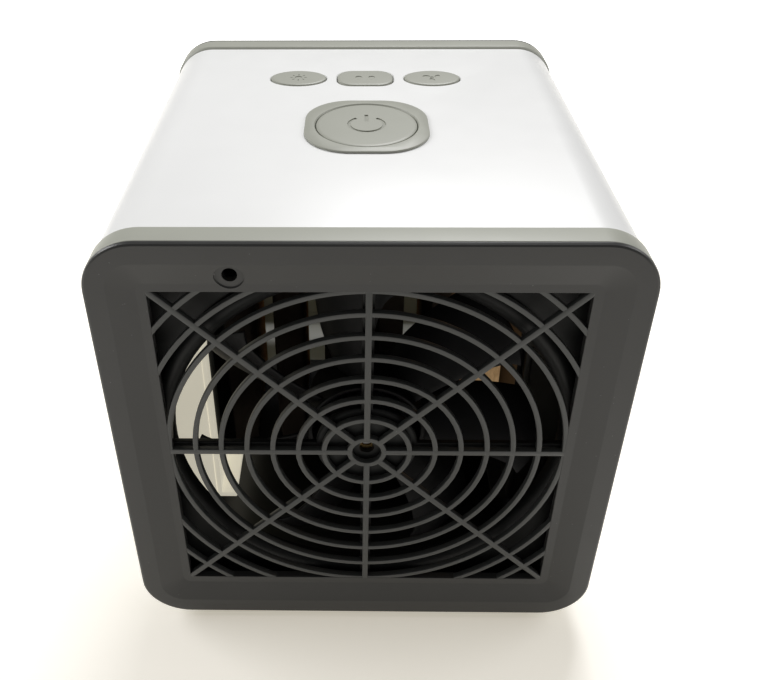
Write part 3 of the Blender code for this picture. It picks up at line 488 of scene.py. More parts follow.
def makeShell():
    low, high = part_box("body_shell")
    rear, front = high[1], low[1]
    half, radius = shell["half"], shell["radius"]
    inner, innerRadius = half - shell["wall"], radius - shell["wall"]
    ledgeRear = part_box("fan_shroud")[0][1] - gap
    ledgeFront = ledgeRear - shell["ledgeThick"]
    ledgeHalf, ledgeRadius = inner - shell["ledge"], innerRadius - shell["ledge"]
    work = bmesh.new()
    squareSweep(work, eased([
        (half, radius, rear), (half, radius, front), (inner, innerRadius, front),
        (inner, innerRadius, ledgeFront), (ledgeHalf, ledgeRadius, ledgeFront),
        (ledgeHalf, ledgeRadius, ledgeRear), (inner, innerRadius, ledgeRear),
        (inner, innerRadius, rear)], shell["ease"], 2), shell["steps"])
    piece = finish("shell_white", work, "cooler", ["body_shell"], skins=("shell",))
    top = axisZ + half
    bottom, above = top - shell["cutDepth"], top + shell["cutAbove"]
    tools = []
    for name, outline in buttonOutlines().items():
        work = bmesh.new()
        levelStack(work, outline, [(gap, bottom), (gap, top - 0.35 * mm), (0.7 * mm, top + 0.05 * mm),
                                   (0.7 * mm, above)], middleXY(name))
        tools.append(finish("cut_" + name, work, None))
    work = bmesh.new()
    levelStack(work, lambda size: roundedPoints(size, size, size - shell["padHoleInset"], 14),
               [(shell["padHole"], bottom), (shell["padHole"], above)], (0, middleXY("power_bezel")[1]))
    tools.append(finish("cut_pad", work, None))
    carve(piece, tools)
    makePosts(top - 2 * mm)


# Posts that carry the control board
def makePosts(top):
    low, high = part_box("control_board")
    bottom = high[2] + gap
    work = bmesh.new()
    for x in (-shell["postX"], shell["postX"]):
        for y in (high[1] - shell["postInset"], low[1] + shell["postInset"]):
            post = bmesh.ops.create_cone(work, cap_ends=True, segments=24, radius1=shell["postRadius"],
                                         radius2=shell["postRadius"], depth=top - bottom)
            bmesh.ops.translate(work, vec=(x, y, (top + bottom) / 2), verts=post["verts"])
    finish("board_posts", work, "cooler", skins=("shell",))


rim = {"radius": 17 * mm, "inner": 79.7 * mm, "innerRadius": 13.8 * mm, "chamfer": 0.75 * mm,
       "chamferLength": 0.9 * mm, "ease": 0.35 * mm}


def makeRims():
    for name, side in (("rear_rim", 1), ("front_rim", -1)):
        low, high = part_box(name)
        outerEnd, innerEnd = (high[1], low[1]) if side > 0 else (low[1], high[1])
        half = (high[0] - low[0]) / 2
        work = bmesh.new()
        squareSweep(work, eased([
            (half, rim["radius"], outerEnd),
            (half, rim["radius"], innerEnd + side * rim["chamferLength"]),
            (half - rim["chamfer"], rim["radius"] - rim["chamfer"], innerEnd),
            (rim["inner"], rim["innerRadius"], innerEnd),
            (rim["inner"], rim["innerRadius"], outerEnd)], rim["ease"]), shell["steps"])
        finish(name + "_grey", work, "cooler", [name], skins=("grey",))


# The band, the slope and the lip round a dark frame's opening, and the skirt inside the box
funnel = {"radius": 17 * mm, "outer": 76 * mm, "outerRadius": 8.5 * mm, "inner": 68 * mm,
          "innerRadius": 3 * mm, "opening": 65 * mm, "openingRadius": 0.5 * mm, "drop": 2.2 * mm,
          "flange": 1.3 * mm, "edge": 0.9 * mm, "ease": 0.35 * mm, "wall": 2.6 * mm,
          "skirtReach": 10.9 * mm, "skirtOuter": 79.4 * mm, "skirtRadius": 13.4 * mm,
          "skirtWall": 1.6 * mm, "steps": 14}
grille = {"hub": 5.69 * mm, "pitch": 8.51 * mm, "rings": 10, "ringWidth": 1.75 * mm, "root": 1.5 * mm,
          "spokeWidth": 2.1 * mm, "spokes": 8, "depth": 2.3 * mm, "soft": 0.35 * mm,
          "recess": 4.5 * mm, "recessDepth": 0.5 * mm, "bore": 2.3 * mm, "boreReach": 8 * mm}


def frameProfile(side, backReach, backHalf):
    end = side * (rearY if side > 0 else -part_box("front_frame")[0][1])
    lip = end - side * funnel["drop"]
    back = lip - side * funnel["wall"]
    edge = funnel["edge"]
    skirtEnd = end - side * funnel["skirtReach"]
    skirtInner = funnel["skirtOuter"] - funnel["skirtWall"]
    skirtInnerRadius = funnel["skirtRadius"] - funnel["skirtWall"]
    outer = [(frameHalf, funnel["radius"], end - side * funnel["flange"]),
             (frameHalf, funnel["radius"], end - side * edge),
             (frameHalf - 0.3 * edge, 16.7 * mm, end - side * 0.3 * edge),
             (frameHalf - edge, 16 * mm, end)]
    face = eased([outer[-1], (funnel["outer"], funnel["outerRadius"], end),
                  (funnel["inner"], funnel["innerRadius"], lip),
                  (funnel["opening"], funnel["openingRadius"], lip),
                  (funnel["opening"], funnel["openingRadius"], end - side * backReach)],
                 funnel["ease"], closed=False)
    inside = [(backHalf, funnel["innerRadius"], end - side * backReach),
              (backHalf, funnel["innerRadius"], back), (skirtInner, skirtInnerRadius, back),
              (skirtInner, skirtInnerRadius, skirtEnd),
              (funnel["skirtOuter"], funnel["skirtRadius"], skirtEnd),
              (funnel["skirtOuter"], funnel["skirtRadius"], end - side * funnel["flange"])]
    return outer + [tuple(point) for point in face[1:]] + inside


def makeRearGrille():
    work = bmesh.new()
    squareSweep(work, frameProfile(1, funnel["drop"] + funnel["wall"], funnel["inner"]),
                funnel["steps"])
    piece = finish("rear_frame", work, "cooler", ["rear_grille"], sharp=12)
    rear = rearY - funnel["drop"]
    low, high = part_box("dc_jack")
    bottom = rear - grille["recessDepth"]
    jack = Vector(((low[0] + high[0]) / 2, bottom, high[2] - socket["middle"]))
    reach = Vector((0, grille["boreReach"], 0))
    recess, above = grille["recess"], bottom + 4 * mm
    work = bmesh.new()
    spinY(work, [(pole, bottom), (recess - 0.35 * mm, bottom), (recess - 0.05 * mm, bottom + 0.25 * mm),
                 (recess, above), (pole, above)], jack, 56)
    carve(piece, [finish("cut_recess", work, None),
                  drill("cut_bore", jack + reach / 4, jack - reach, grille["bore"], 40)], sharp=12)
    ribs = bmesh.new()
    makeRings(ribs, rear)
    makeSpokes(ribs, rear)
    finish("grille_ribs", ribs, "cooler", ["rear_grille"], sharp=35,
           skins=("rib",))


# Rings, cut off where they run past the opening
def makeRings(ribs, rear):
    back, face = rear - grille["depth"], rear - 0.1 * mm
    half = grille["ringWidth"] / 2
    for index in range(grille["rings"]):
        radius = grille["hub"] + index * grille["pitch"]
        profile = eased([(radius + half, face, 0), (radius + half, back, 0), (radius - half, back, 0),
                         (radius - half, face, 0)], grille["soft"], 2)
        spinY(ribs, [point[:2] for point in profile], (0, rear, axisZ), 48 if index < 4 else 112)
    for normal in ((1, 0, 0), (-1, 0, 0), (0, 0, 1), (0, 0, -1)):
        side = Vector((0, 0, axisZ)) + Vector(normal) * (funnel["opening"] + grille["root"])
        cut = bmesh.ops.bisect_plane(ribs, geom=ribs.verts[:] + ribs.edges[:] + ribs.faces[:],
                                     plane_co=side, plane_no=normal, clear_outer=True)
        bmesh.ops.holes_fill(ribs, edges=[part for part in cut["geom_cut"]
                                          if isinstance(part, bmesh.types.BMEdge)
                                          and part.is_boundary])


def makeSpokes(ribs, rear):
    limit = funnel["opening"] + grille["root"]
    half = grille["spokeWidth"] / 2
    for index in range(grille["spokes"]):
        reachTo = limit * (1 if index % 2 == 0 else math.sqrt(2) - 0.012)    # into the corner
        start = set(ribs.verts)
        block(ribs, (grille["hub"] - gap, rear - grille["depth"] + 0.1 * mm, -half),
              (reachTo, rear - 0.02 * mm, half), grille["soft"], 2)
        made = [vert for vert in ribs.verts if vert not in start]
        angle = turn * index / grille["spokes"]
        bmesh.ops.rotate(ribs, cent=(0, 0, 0), matrix=Matrix.Rotation(-angle, 3, "Y"), verts=made)
        bmesh.ops.translate(ribs, vec=(0, 0, axisZ), verts=made)


outlet = {"reach": 20 * mm, "backHalf": 67.5 * mm, "pinHole": 1.8 * mm, "pinReach": 3 * mm,
          "barHalf": 65.8 * mm, "barDepth": 3.8 * mm, "barHeight": 4.3 * mm, "barSoft": 0.4 * mm}


def makeFrontFrame():
    work = bmesh.new()
    squareSweep(work, frameProfile(-1, outlet["reach"], outlet["backHalf"]), funnel["steps"])
    piece = finish("front_frame_dark", work, "cooler", ["front_frame"], sharp=12)
    tools = []
    for index in range(louvreCount):
        low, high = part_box("louvre_%d" % (index + 1))
        y, z = louvreAxis(index)
        tools.append(drill("cut_pin", (low[0] - outlet["pinReach"], y, z),
                           (high[0] + outlet["pinReach"], y, z), outlet["pinHole"], 32))
    carve(piece, tools, sharp=12)
    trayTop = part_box("water_tray")[1][2]
    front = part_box("front_frame")[0][1] + funnel["drop"]
    work = bmesh.new()
    block(work, (-outlet["barHalf"], front + 0.05 * mm, trayTop + gap),
          (outlet["barHalf"], front + outlet["barDepth"], trayTop + outlet["barHeight"]),
          outlet["barSoft"])
    finish("tray_bar", work, "cooler", ["front_frame"])


socket = {"middle": 4.5 * mm, "soft": 0.4 * mm, "bore": 2.1 * mm, "depth": 9 * mm, "pin": 0.65 * mm,
          "pinTip": 0.4 * mm, "pinTaper": 0.5 * mm}
pole = 0.02 * mm                      # radius left at the axis of a turned piece


def makeJack():
    low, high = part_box("dc_jack")
    centre = Vector(((low[0] + high[0]) / 2, high[1], high[2] - socket["middle"]))
    work = bmesh.new()
    block(work, low, high, socket["soft"])
    piece = finish("socket_body", work, "cooler", ["dc_jack"], skins=("black",))
    carve(piece, [drill("cut_socket", centre - Vector((0, socket["depth"], 0)),
                        centre + Vector((0, mm, 0)), socket["bore"], 40)])
    start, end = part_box("jack_pin")[0][1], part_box("jack_pin")[1][1]
    work = bmesh.new()
    spinY(work, [(pole, start), (socket["pin"], start), (socket["pin"], end - socket["pinTaper"]),
                 (socket["pinTip"], end), (pole, end)], centre, 24)
    finish("socket_pin", work, "cooler", ["jack_pin"], skins=("brass",))


fan = {"bore": 65 * mm, "lipWidth": 7 * mm, "lipHeight": 3.9 * mm, "lipSteps": 12, "plate": 2 * mm,
       "plateRadius": 13.5 * mm, "ease": 0.3 * mm, "cornerSteps": 20, "notchRoom": 0.5 * mm,
       "blades": 7, "tip": 61.5 * mm, "hub": 20 * mm, "wall": 1.8 * mm, "boss": 4 * mm,
       "shaftHole": 1.8 * mm, "thick": 1.04 * mm, "chord": (19 * mm, 30 * mm), "pitch": (50, 34),
       "sweep": 10, "firstBlade": 25, "camber": 2.2 * mm, "root": 0.6 * mm, "bladeEdge": 0.35 * mm}


def makeShroud():
    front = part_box("fan_shroud")[0][1]
    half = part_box("fan_shroud")[1][0]
    rear, ease, steps = front + fan["plate"], fan["ease"], fan["cornerSteps"]
    outlines = []
    for inset, y in ((ease, front), (0, front + ease), (0, rear - ease), (ease, rear)):
        side = half - inset
        outlines.append(standing(roundedPoints(side, side, fan["plateRadius"] - inset, steps), y))
    lip = []
    for step in range(fan["lipSteps"] + 1):
        angle = math.pi * step / fan["lipSteps"]
        lip.append((fan["bore"] + fan["lipWidth"] * (1 + math.cos(angle)) / 2,
                    rear + fan["lipHeight"] * math.sin(angle)))
    for radius, y in lip + [(fan["bore"], front)]:
        outlines.append(standing(ovalPoints(radius, radius, 4 * (steps + 1)), y))
    work = bmesh.new()
    sweep(work, outlines, closed=True)
    piece = finish("shroud_plate", work, "cooler", ["fan_shroud"],
                   skins=("shroud",))
    low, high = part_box("dc_jack")
    room = fan["notchRoom"]
    work = bmesh.new()
    block(work, (low[0] - room, front - mm, low[2] - room), (high[0] + room, rear + mm, high[2] + room))
    carve(piece, [finish("cut_notch", work, None)])


bracket = {"hub": 17 * mm, "thick": 2 * mm, "bore": 2.5 * mm, "edge": 0.5 * mm, "armWidth": 3.8 * mm,
           "arms": 4, "armRoot": 3 * mm, "footLength": 5.2 * mm, "footHalf": 3.5 * mm, "soft": 0.4 * mm,
           "sink": 1.8 * mm, "sinkRadius": 2 * mm, "shank": 9 * mm, "shankRadius": 1.2 * mm}


def makeBracket():
    low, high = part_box("motor_bracket")
    rear, reach, hub = high[1], high[0], bracket["hub"]
    back, edge = rear - bracket["thick"], bracket["edge"]
    work = bmesh.new()
    spinY(work, [(bracket["bore"], rear), (hub - 3 * mm, rear), (hub - 2.4 * mm, rear),
                 (hub - edge, rear), (hub, rear - edge), (hub, back), (bracket["bore"], back)],
          (0, back, axisZ), 64)
    piece = finish("bracket_hub", work, "cooler", ["motor_bracket"],
                   skins=("shroud",))
    arms = []
    for index in range(bracket["arms"]):
        work = bmesh.new()
        block(work, (hub - bracket["armRoot"], back + 0.05 * mm, -bracket["armWidth"] / 2),
              (reach, rear - 0.03 * mm, bracket["armWidth"] / 2), bracket["soft"])
        block(work, (reach - bracket["footLength"], low[1], -bracket["footHalf"]),
              (reach, rear - 0.06 * mm, bracket["footHalf"]), bracket["soft"])
        angle = -turn * index / bracket["arms"]
        bmesh.ops.rotate(work, cent=(0, 0, 0), matrix=Matrix.Rotation(angle, 3, "Y"), verts=work.verts)
        bmesh.ops.translate(work, vec=(0, 0, axisZ), verts=work.verts)
        arms.append(finish("bracket_arm", work, None))
    carve(piece, arms, "UNION", ownFaces=True)
    dress(piece, "shroud")
    tools = []
    for index in range(bracket["arms"]):
        low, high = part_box("bracket_screw_%d" % (index + 1))
        x, z = (low[0] + high[0]) / 2, (low[2] + high[2]) / 2
        for name, depth, radius, steps in (("cut_sink", bracket["sink"], bracket["sinkRadius"], 32),
                                           ("cut_shank", bracket["shank"], bracket["shankRadius"], 24)):
            tools.append(drill(name, (x, rear - depth, z), (x, rear + mm, z), radius, steps))
        makeScrew(index, x, z, low[1], high[1])
    carve(piece, tools)


screw = {"head": 1.7 * mm, "headHeight": 1.2 * mm, "shank": 0.9 * mm, "core": 0.72 * mm,
         "tip": 0.8 * mm, "threads": 14, "slot": (1.0 * mm, 0.22 * mm), "slotDepth": 0.7 * mm}


# A pan head with a cross recess over a threaded shank
def makeScrew(index, x, z, tip, head):
    under = head - screw["headHeight"]
    profile = [(pole, head), (0.9 * mm, head - 0.06 * mm), (1.5 * mm, head - 0.35 * mm),
               (screw["head"], head - 0.8 * mm), (screw["head"], under), (screw["shank"], under)]
    thread = (under - tip - screw["tip"]) / screw["threads"]
    for step in range(screw["threads"]):
        y = under - thread * (step + 0.5)
        profile += [(screw["core"], y), (screw["shank"], y - thread / 2)]
    profile.append((pole, tip))
    work = bmesh.new()
    spinY(work, profile, (x, head, z), 24)
    name = "screw_%d" % (index + 1)
    piece = finish(name, work, "cooler", ["bracket_" + name], skins=("steel",))
    work = bmesh.new()
    long, short = screw["slot"]
    for halfX, halfZ in ((long, short), (short, long)):
        block(work, (x - halfX, head - screw["slotDepth"], z - halfZ),
              (x + halfX, head + mm, z + halfZ))
    carve(piece, [finish("cut_cross", work, None)], ownFaces=True)


def makeImpeller():
    low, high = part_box("impeller")
    rear, front = high[1], low[1]
    hub, hole, boss = fan["hub"], fan["shaftHole"], fan["boss"]
    inner, floor = hub - fan["wall"], front + fan["wall"]
    profile = eased([(hole, front, 0), (hub, front, 0), (hub, rear, 0), (inner, rear, 0),
                     (inner, floor, 0), (boss, floor, 0), (boss, floor + boss, 0),
                     (hole, floor + boss, 0)], 1.0 * mm, 3)
    work = bmesh.new()
    spinY(work, [point[:2] for point in profile], (0, front, axisZ), 72)
    finish("impeller_hub", work, "fan", ["impeller"], skins=("black",))
    work = bmesh.new()
    for index in range(fan["blades"]):
        bladeSheet(work, index, (rear + front) / 2)
    finish("impeller_blades", work, "fan", ["impeller"], sharp=50, skins=("black",))


# A grid along the span, pitched, cambered and swept, then given its thickness
def bladeSheet(work, index, middle):
    start = set(work.verts)
    sheet = bmesh.ops.create_grid(work, x_segments=20, y_segments=14, size=1)
    root = fan["hub"] - fan["root"]
    first = math.radians(fan["firstBlade"]) + turn * index / fan["blades"]
    for vert in sheet["verts"]:
        share, along = (vert.co.x + 1) / 2, vert.co.y
        tipRound = 1 - 0.10 * max(0.0, share - 0.8) / 0.2 * along * along
        radius = root + (fan["tip"] - root) * share * tipRound
        chord = fan["chord"][0] + (fan["chord"][1] - fan["chord"][0]) * share
        pitch = math.radians(fan["pitch"][0] + (fan["pitch"][1] - fan["pitch"][0]) * share)
        camber = fan["camber"] * (1 - along * along)
        length = along * chord / 2
        across = length * math.cos(pitch) - camber * math.sin(pitch)
        angle = across / radius + math.radians(fan["sweep"]) * share ** 1.5 + first
        depth = length * math.sin(pitch) + camber * math.cos(pitch)
        vert.co = (radius * math.cos(angle), middle + depth, axisZ + radius * math.sin(angle))
    faces = list({face for vert in sheet["verts"] for face in vert.link_faces})
    bmesh.ops.recalc_face_normals(work, faces=faces)
    bmesh.ops.solidify(work, geom=faces, thickness=fan["thick"])
    made = [vert for vert in work.verts if vert not in start]
    rims = [edge for edge in {part for vert in made for part in vert.link_edges}
            if len(edge.link_faces) == 2 and edge.calc_face_angle(0) > 1.0]
    bmesh.ops.bevel(work, geom=rims, offset=fan["bladeEdge"], segments=2, profile=0.5,
                    affect="EDGES", material=-1)


wet = {"wall": 2 * mm, "soft": 0.8 * mm, "pads": 6, "pleats": 9, "padInset": 0.6 * mm,
       "paper": 0.45 * mm, "ripple": 0.05, "guideSoft": 0.3 * mm}


def makeCassette():
    low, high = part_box("filter_cassette")
    wall = wet["wall"]
    work = bmesh.new()
    block(work, low, high, wet["soft"], 3)
    piece = finish("cassette_frame", work, "cooler", ["filter_cassette"],
                   skins=("shroud",))
    work = bmesh.new()
    block(work, (low[0] + wall, low[1] - mm, low[2] + wall), (high[0] - wall, high[1] + mm, high[2] - wall))
    carve(piece, [finish("cut_cassette", work, None)])
    for index in range(wet["pads"]):
        makePad(index)


# Pleated kraft: a folded sheet that stands in the cassette
def makePad(index):
    name = "filter_pad_%d" % (index + 1)
    low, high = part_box(name)
    centre, half = (low + high) / 2, (high - low) / 2
    work = bmesh.new()
    sheet = bmesh.ops.create_grid(work, x_segments=wet["pleats"] * 4, y_segments=16, size=1)
    for vert in sheet["verts"]:
        along, up = vert.co.x, vert.co.y
        phase = (along + 1) / 2 * wet["pleats"]
        fold = abs(phase % 1 - 0.5) * 4 - 1
        fold += wet["ripple"] * math.sin(9 * up + index) * math.sin(phase * turn)
        vert.co = (centre.x + (half.x - wet["padInset"]) * max(-1, min(1, fold)),
                   centre.y + (half.y - wet["padInset"]) * along, centre.z + half.z * up)
    bmesh.ops.recalc_face_normals(work, faces=work.faces)
    bmesh.ops.solidify(work, geom=work.faces[:], thickness=wet["paper"])
    finish(name + "_pleats", work, "cooler", [name], sharp=40, skins=("kraft",))


# Each guide is a merged copy of its node with softened edges
def makeGuides():
    for name in ("guide_left", "guide_right"):
        work = bmesh.new()
        work.from_mesh(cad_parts[name].data)
        bmesh.ops.remove_doubles(work, verts=work.verts, dist=0.01 * mm)
        bmesh.ops.dissolve_limit(work, angle_limit=math.radians(2), verts=work.verts,
                                 edges=work.edges)
        edges = [edge for edge in work.edges
                 if len(edge.link_faces) == 2 and edge.calc_face_angle(0) > 1]
        bmesh.ops.bevel(work, geom=edges, offset=wet["guideSoft"], segments=2, profile=0.5,
                        affect="EDGES", material=-1)
        # Painted light and shade: the guide on the lit side gets the glowing cream, the other gets the dark
        # copy
        skin = "cream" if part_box(name)[0][0] > 0 else "creamShade"
        finish(name + "_wall", work, "cooler", [name], skins=(skin,))


basin = {"side": 6.6 * mm, "front": 2.2 * mm, "under": 0.35 * mm, "above": 0.25 * mm, "wall": 1.8 * mm,
         "hollowFront": 5 * mm, "hollowSoft": 0.6 * mm, "plate": 3.2 * mm, "plateSoft": 0.7 * mm,
         "soft": 0.8 * mm, "gripHeight": 11.35 * mm, "gripHalf": 13 * mm, "gripRadius": 5 * mm}


def makeTray():
    low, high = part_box("water_tray")
    wall = basin["wall"]
    bodyLow = low + Vector((basin["side"], basin["front"], basin["under"]))
    bodyHigh = high - Vector((basin["side"], 0, basin["above"]))
    work = bmesh.new()
    block(work, bodyLow, bodyHigh, basin["soft"], 3)
    piece = finish("tray_body", work, "tray", ["water_tray"], skins=("grey",))
    work = bmesh.new()
    block(work, (bodyLow.x + wall, low.y + basin["hollowFront"], bodyLow.z + wall),
          (bodyHigh.x - wall, high.y - wall, high.z + 2 * mm), basin["hollowSoft"])
    hollow = finish("cut_hollow", work, None)
    work = bmesh.new()
    block(work, low, (high.x, low.y + basin["plate"], high.z), basin["plateSoft"], 3)
    carve(piece, [finish("tray_plate", work, None)], "UNION")
    y, z = low.y - basin["plate"], low.z + basin["gripHeight"]
    grip = drill("cut_grip", (-basin["gripHalf"], y, z), (basin["gripHalf"], y, z),
                 basin["gripRadius"], 48)
    carve(piece, [hollow, grip])
    dress(piece, "grey")


louvreCount = 6
vane = {"front": 8 * mm, "rear": 5.5 * mm, "thick": 1.8 * mm, "half": 64.5 * mm, "soft": 0.6 * mm,
        "pin": 1.4 * mm, "pinEnd": 67.3 * mm, "thinning": 0.35, "linkArm": 11 * mm, "linkX": 60 * mm,
        "linkPin": 1.1 * mm, "linkPinEnd": 3.1 * mm, "linkHole": 1.4 * mm, "earWidth": 2.5 * mm,
        "earHalf": 0.8 * mm, "earSoft": 0.3 * mm, "tabOn": 3, "tabHalf": 4 * mm, "tabReach": 2 * mm,
        "tabHeight": 0.7 * mm, "tabSoft": 0.5 * mm}


def louvreAxis(index):
    low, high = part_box("louvre_%d" % (index + 1))
    return high[1] - vane["linkArm"] - vane["pin"], (low[2] + high[2]) / 2


def makeLouvre(index):
    y, z = louvreAxis(index)
    name = "louvre_%d" % (index + 1)
    work = bmesh.new()
    block(work, (-vane["half"], y - vane["front"], z - vane["thick"] / 2),
          (vane["half"], y + vane["rear"], z + vane["thick"] / 2), vane["soft"], 4)
    for vert in work.verts:           # thinner towards both edges
        share = (vert.co.y - y - 0.5 * mm) / vane["front"]
        vert.co.z = z + (vert.co.z - z) * (1 - vane["thinning"] * share * share)
    piece = finish(name + "_vane", work, "vane_%d" % (index + 1), [name])
    tools = [drill("pin", (-vane["pinEnd"], y, z), (vane["pinEnd"], y, z), vane["pin"], 32)]
    ear, arm = vane["linkX"] - gap, y + vane["linkArm"]
    work = bmesh.new()
    block(work, (ear - vane["earWidth"], y + vane["rear"] - 1.5 * mm, z - vane["earHalf"]),
          (ear, arm + vane["pin"], z + vane["earHalf"]), vane["earSoft"])
    tools.append(finish("ear", work, None))
    tools.append(drill("link_pin", (ear - mm, arm, z), (vane["linkX"] + vane["linkPinEnd"], arm, z),
                       vane["linkPin"], 24))
    if index == vane["tabOn"]:
        front = y - vane["front"]
        work = bmesh.new()
        block(work, (-vane["tabHalf"], front - vane["tabReach"], z - vane["tabHeight"]),
              (vane["tabHalf"], front + vane["tabReach"], z + vane["tabHeight"]), vane["tabSoft"], 3)
        tools.append(finish("tab", work, None))
    carve(piece, tools, "UNION")
    dress(piece, "charcoal")


def makeLink():
    low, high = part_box("louvre_link")
    work = bmesh.new()
    block(work, low, high, 0.5 * mm, 3)
    piece = finish("link_bar", work, "link", ["louvre_link"])
    tools = []
    for index in range(louvreCount):
        y, z = louvreAxis(index)
        y += vane["linkArm"]
        tools.append(drill("cut_link", (low[0] - mm, y, z), (high[0] + mm, y, z), vane["linkHole"], 24))
    carve(piece, tools)


key = {"halfX": 11 * mm, "halfY": 7.75 * mm, "radius": 6.4 * mm, "stem": 6 * mm, "flange": 1.3 * mm,
       "flangeThick": 1.2 * mm}


def buttonOutlines():
    def ellipse(grow):
        return ovalPoints(key["halfX"] + grow, key["halfY"] + grow)

    def oblong(grow):
        return roundedPoints(key["halfX"] + grow, key["halfY"] + grow, key["radius"] + min(grow, 0), 15)
    return {"light_button": ellipse, "fan_button": oblong, "speed_button": ellipse}


def makeSmallButtons():
    for name, outline in buttonOutlines().items():
        low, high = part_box(name)
        top = high[2]
        flange = axisZ + shell["half"] - shell["wall"] - gap
        under = flange - key["flangeThick"]
        centre = Vector((*middleXY(name), 0))
        work = bmesh.new()
        levelStack(work, outline, [
            (-key["stem"], low[2]), (-key["stem"], under), (key["flange"], under),
            (key["flange"], flange), (0, flange), (0, top - 0.45 * mm), (-0.13 * mm, top - 0.18 * mm),
            (-0.45 * mm, top - 0.04 * mm), (-1.2 * mm, top)], centre)
        piece = finish(name + "_cap", work, name.replace("_button", "_key"),
                       [name], skins=("grey",))
        carve(piece, symbolTools(name, centre, top))


# Halves of each round stroke and how far it lies from the symbol's middle
symbols = {"depth": 0.3 * mm, "lamp": 1.5 * mm, "ray": (0.65 * mm, 0.22 * mm), "rayOut": 2.8 * mm,
           "rays": 8, "dropOut": 2.6 * mm, "drop": 1.35 * mm, "dropTip": (0.62 * mm, 1.3 * mm),
           "fanHub": 0.75 * mm, "fanBlade": (1.55 * mm, 0.95 * mm), "fanOut": 2.5 * mm,
           "fanBlades": 3, "fanTwist": 0.5}


# Sunk symbols: a lamp with rays, two drops and a three-blade fan
def symbolTools(name, centre, top):
    tools = []

    def dot(x, y, halfX, halfY, angle=0.0):
        work = bmesh.new()
        bmesh.ops.create_cone(work, cap_ends=True, segments=32, radius1=1, radius2=1, depth=2)
        bmesh.ops.scale(work, vec=(halfX, halfY, symbols["depth"]), verts=work.verts)
        bmesh.ops.rotate(work, cent=(0, 0, 0), matrix=Matrix.Rotation(angle, 3, "Z"), verts=work.verts)
        bmesh.ops.translate(work, vec=centre + Vector((x, y, top + 0.05 * mm)), verts=work.verts)
        tools.append(finish("symbol", work, None, skins=("ink",)))

    def ringOfDots(count, start, out, size, twist):
        for step in range(count):
            angle = turn * (step / count + start)
            dot(out * math.cos(angle), out * math.sin(angle), *size, angle + twist)
    if name == "light_button":
        dot(0, 0, symbols["lamp"], symbols["lamp"])
        ringOfDots(symbols["rays"], 0, symbols["rayOut"], symbols["ray"], 0)
    elif name == "fan_button":
        for side in (-1, 1):
            dot(side * symbols["dropOut"], -0.2 * mm, symbols["drop"], symbols["drop"])
            dot(side * symbols["dropOut"], 1.1 * mm, *symbols["dropTip"])
    else:
        dot(0, 0, symbols["fanHub"], symbols["fanHub"])
        ringOfDots(symbols["fanBlades"], 0.25, symbols["fanOut"], symbols["fanBlade"],
                   symbols["fanTwist"])
    return tools


pad = {"radius": 16.5 * mm, "skirtInset": 2.3 * mm, "seat": 0.15 * mm, "hole": 18.3 * mm,
       "holeTop": 18.7 * mm, "button": 18 * mm, "buttonFlange": 19.3 * mm, "stem": 2.5 * mm,
       "flangeThick": 1.2 * mm, "mark": (5.6 * mm, 6.9 * mm), "markDepth": 0.4 * mm,
       "markArc": 290, "markStart": -55, "barHalf": 0.65 * mm, "bar": (-8.2 * mm, -2.2 * mm)}


def makePowerPad():
    low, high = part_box("power_bezel")
    half, top, under = (high[0] - low[0]) / 2, high[2], low[2]
    seat = axisZ + shell["half"] + pad["seat"]
    centre = Vector((0, middleXY("power_bezel")[1], 0))
    work = bmesh.new()
    levelStack(work, lambda inset: roundedPoints(half - inset, half - inset, pad["radius"] - inset, 20), [
        (pad["skirtInset"], under), (pad["skirtInset"], seat), (0, seat), (0, top - 0.4 * mm),
        (0.12 * mm, top - 0.15 * mm), (0.4 * mm, top)], centre)
    bezel = finish("pad_plate", work, "cooler", ["power_bezel"], skins=("grey",))
    work = bmesh.new()
    levelStack(work, disc, [
        (pad["hole"], under - 2 * mm), (pad["hole"], top - 0.4 * mm),
        (pad["holeTop"], top + 0.02 * mm), (pad["holeTop"], top + 2 * mm)], centre)
    carve(bezel, [finish("cut_pad_hole", work, None)])
    makePowerButton(centre, under - gap)


def disc(radius):
    return ovalPoints(radius, radius, 96)


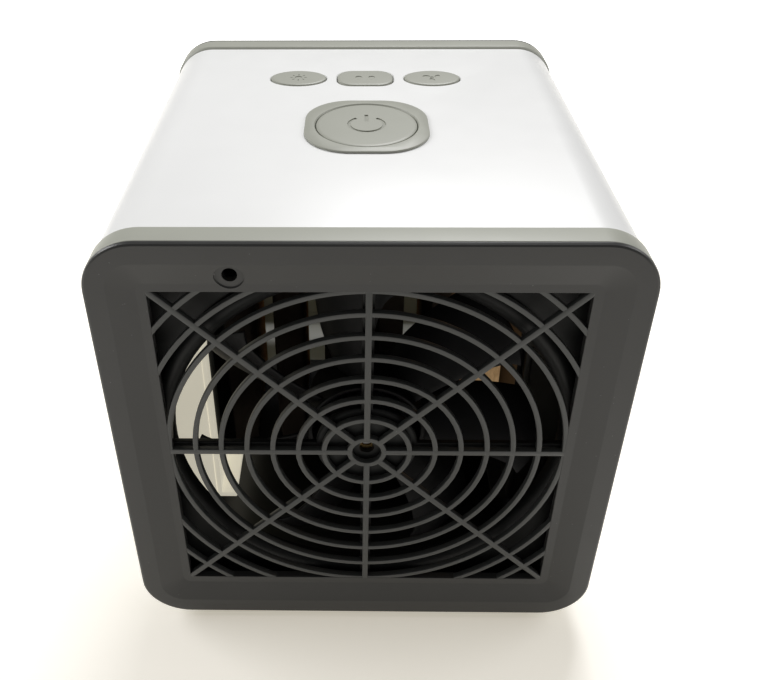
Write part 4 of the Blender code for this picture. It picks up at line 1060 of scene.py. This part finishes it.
def makePowerButton(centre, flange):
    low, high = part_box("power_button")
    top, under, radius = high[2], flange - pad["flangeThick"], pad["button"]
    work = bmesh.new()
    levelStack(work, disc, [
        (pad["stem"], low[2]), (pad["stem"], under), (pad["buttonFlange"], under),
        (pad["buttonFlange"], flange), (radius, flange), (radius, top - 0.6 * mm),
        (radius - 0.15 * mm, top - 0.25 * mm), (radius - 0.6 * mm, top - 0.05 * mm),
        (radius - 1.4 * mm, top)], centre)
    piece = finish("power_cap", work, "power_key", ["power_button"],
                   skins=("grey",))
    inner, outer = pad["mark"]
    bottom = -pad["markDepth"]
    work = bmesh.new()
    corners = [work.verts.new((size, 0, z)) for size, z in (
        (inner, bottom), (outer, bottom), (outer, mm), (inner, mm))]
    bmesh.ops.spin(work, geom=[work.faces.new(corners)], cent=(0, 0, 0), axis=(0, 0, 1),
                   angle=math.radians(pad["markArc"]), steps=48)
    start = Matrix.Rotation(math.radians(pad["markStart"]), 3, "Z")
    bmesh.ops.rotate(work, cent=(0, 0, 0), matrix=start, verts=work.verts)
    block(work, (-pad["barHalf"], pad["bar"][0], bottom), (pad["barHalf"], pad["bar"][1], mm))
    bmesh.ops.translate(work, vec=centre + Vector((0, 0, top)), verts=work.verts)
    carve(piece, [finish("cut_power_mark", work, None, skins=("ink",))])


foot = {"inset": (1.2 * mm, 0.5 * mm), "rise": (0.25 * mm, 0.9 * mm)}


def makeFeet():
    for index in range(4):
        name = "foot_%d" % (index + 1)
        low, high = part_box(name)
        radius = (high[0] - low[0]) / 2
        work = bmesh.new()
        levelStack(work, lambda size: ovalPoints(size, size, 48), [
            (radius - foot["inset"][0], low.z), (radius - foot["inset"][1], low.z + foot["rise"][0]),
            (radius, low.z + foot["rise"][1]), (radius, high.z)], middleXY(name))
        finish(name + "_pad", work, "cooler", [name], skins=("rubber",))


innerSkins = {"motor_can": "steel", "motor_shaft": "steel", "rear_bush": "brass", "front_bush": "brass",
              "control_board": "board", "power_switch": "black", "light_switch": "black",
              "fan_switch": "black", "speed_switch": "black"}


# Nodes carried over from the frame keep their meshes and get a finish
def paintInnerNodes():
    for name, skin in innerSkins.items():
        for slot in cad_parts[name].material_slots:
            slot.material = materials[skin]


makeShell()
makeRims()
print("shell and rims made")
makeRearGrille()
makeFrontFrame()
makeJack()
print("frames and grille made")
makeShroud()
makeBracket()
makeImpeller()
print("fan made")
makeCassette()
makeGuides()
makeTray()
print("cassette, guides and tray made")
for number in range(louvreCount):
    makeLouvre(number)
makeLink()
print("louvres made")
makePowerPad()
makeSmallButtons()
print("controls made")
makeFeet()
paintInnerNodes()
print("feet made and inner nodes painted")
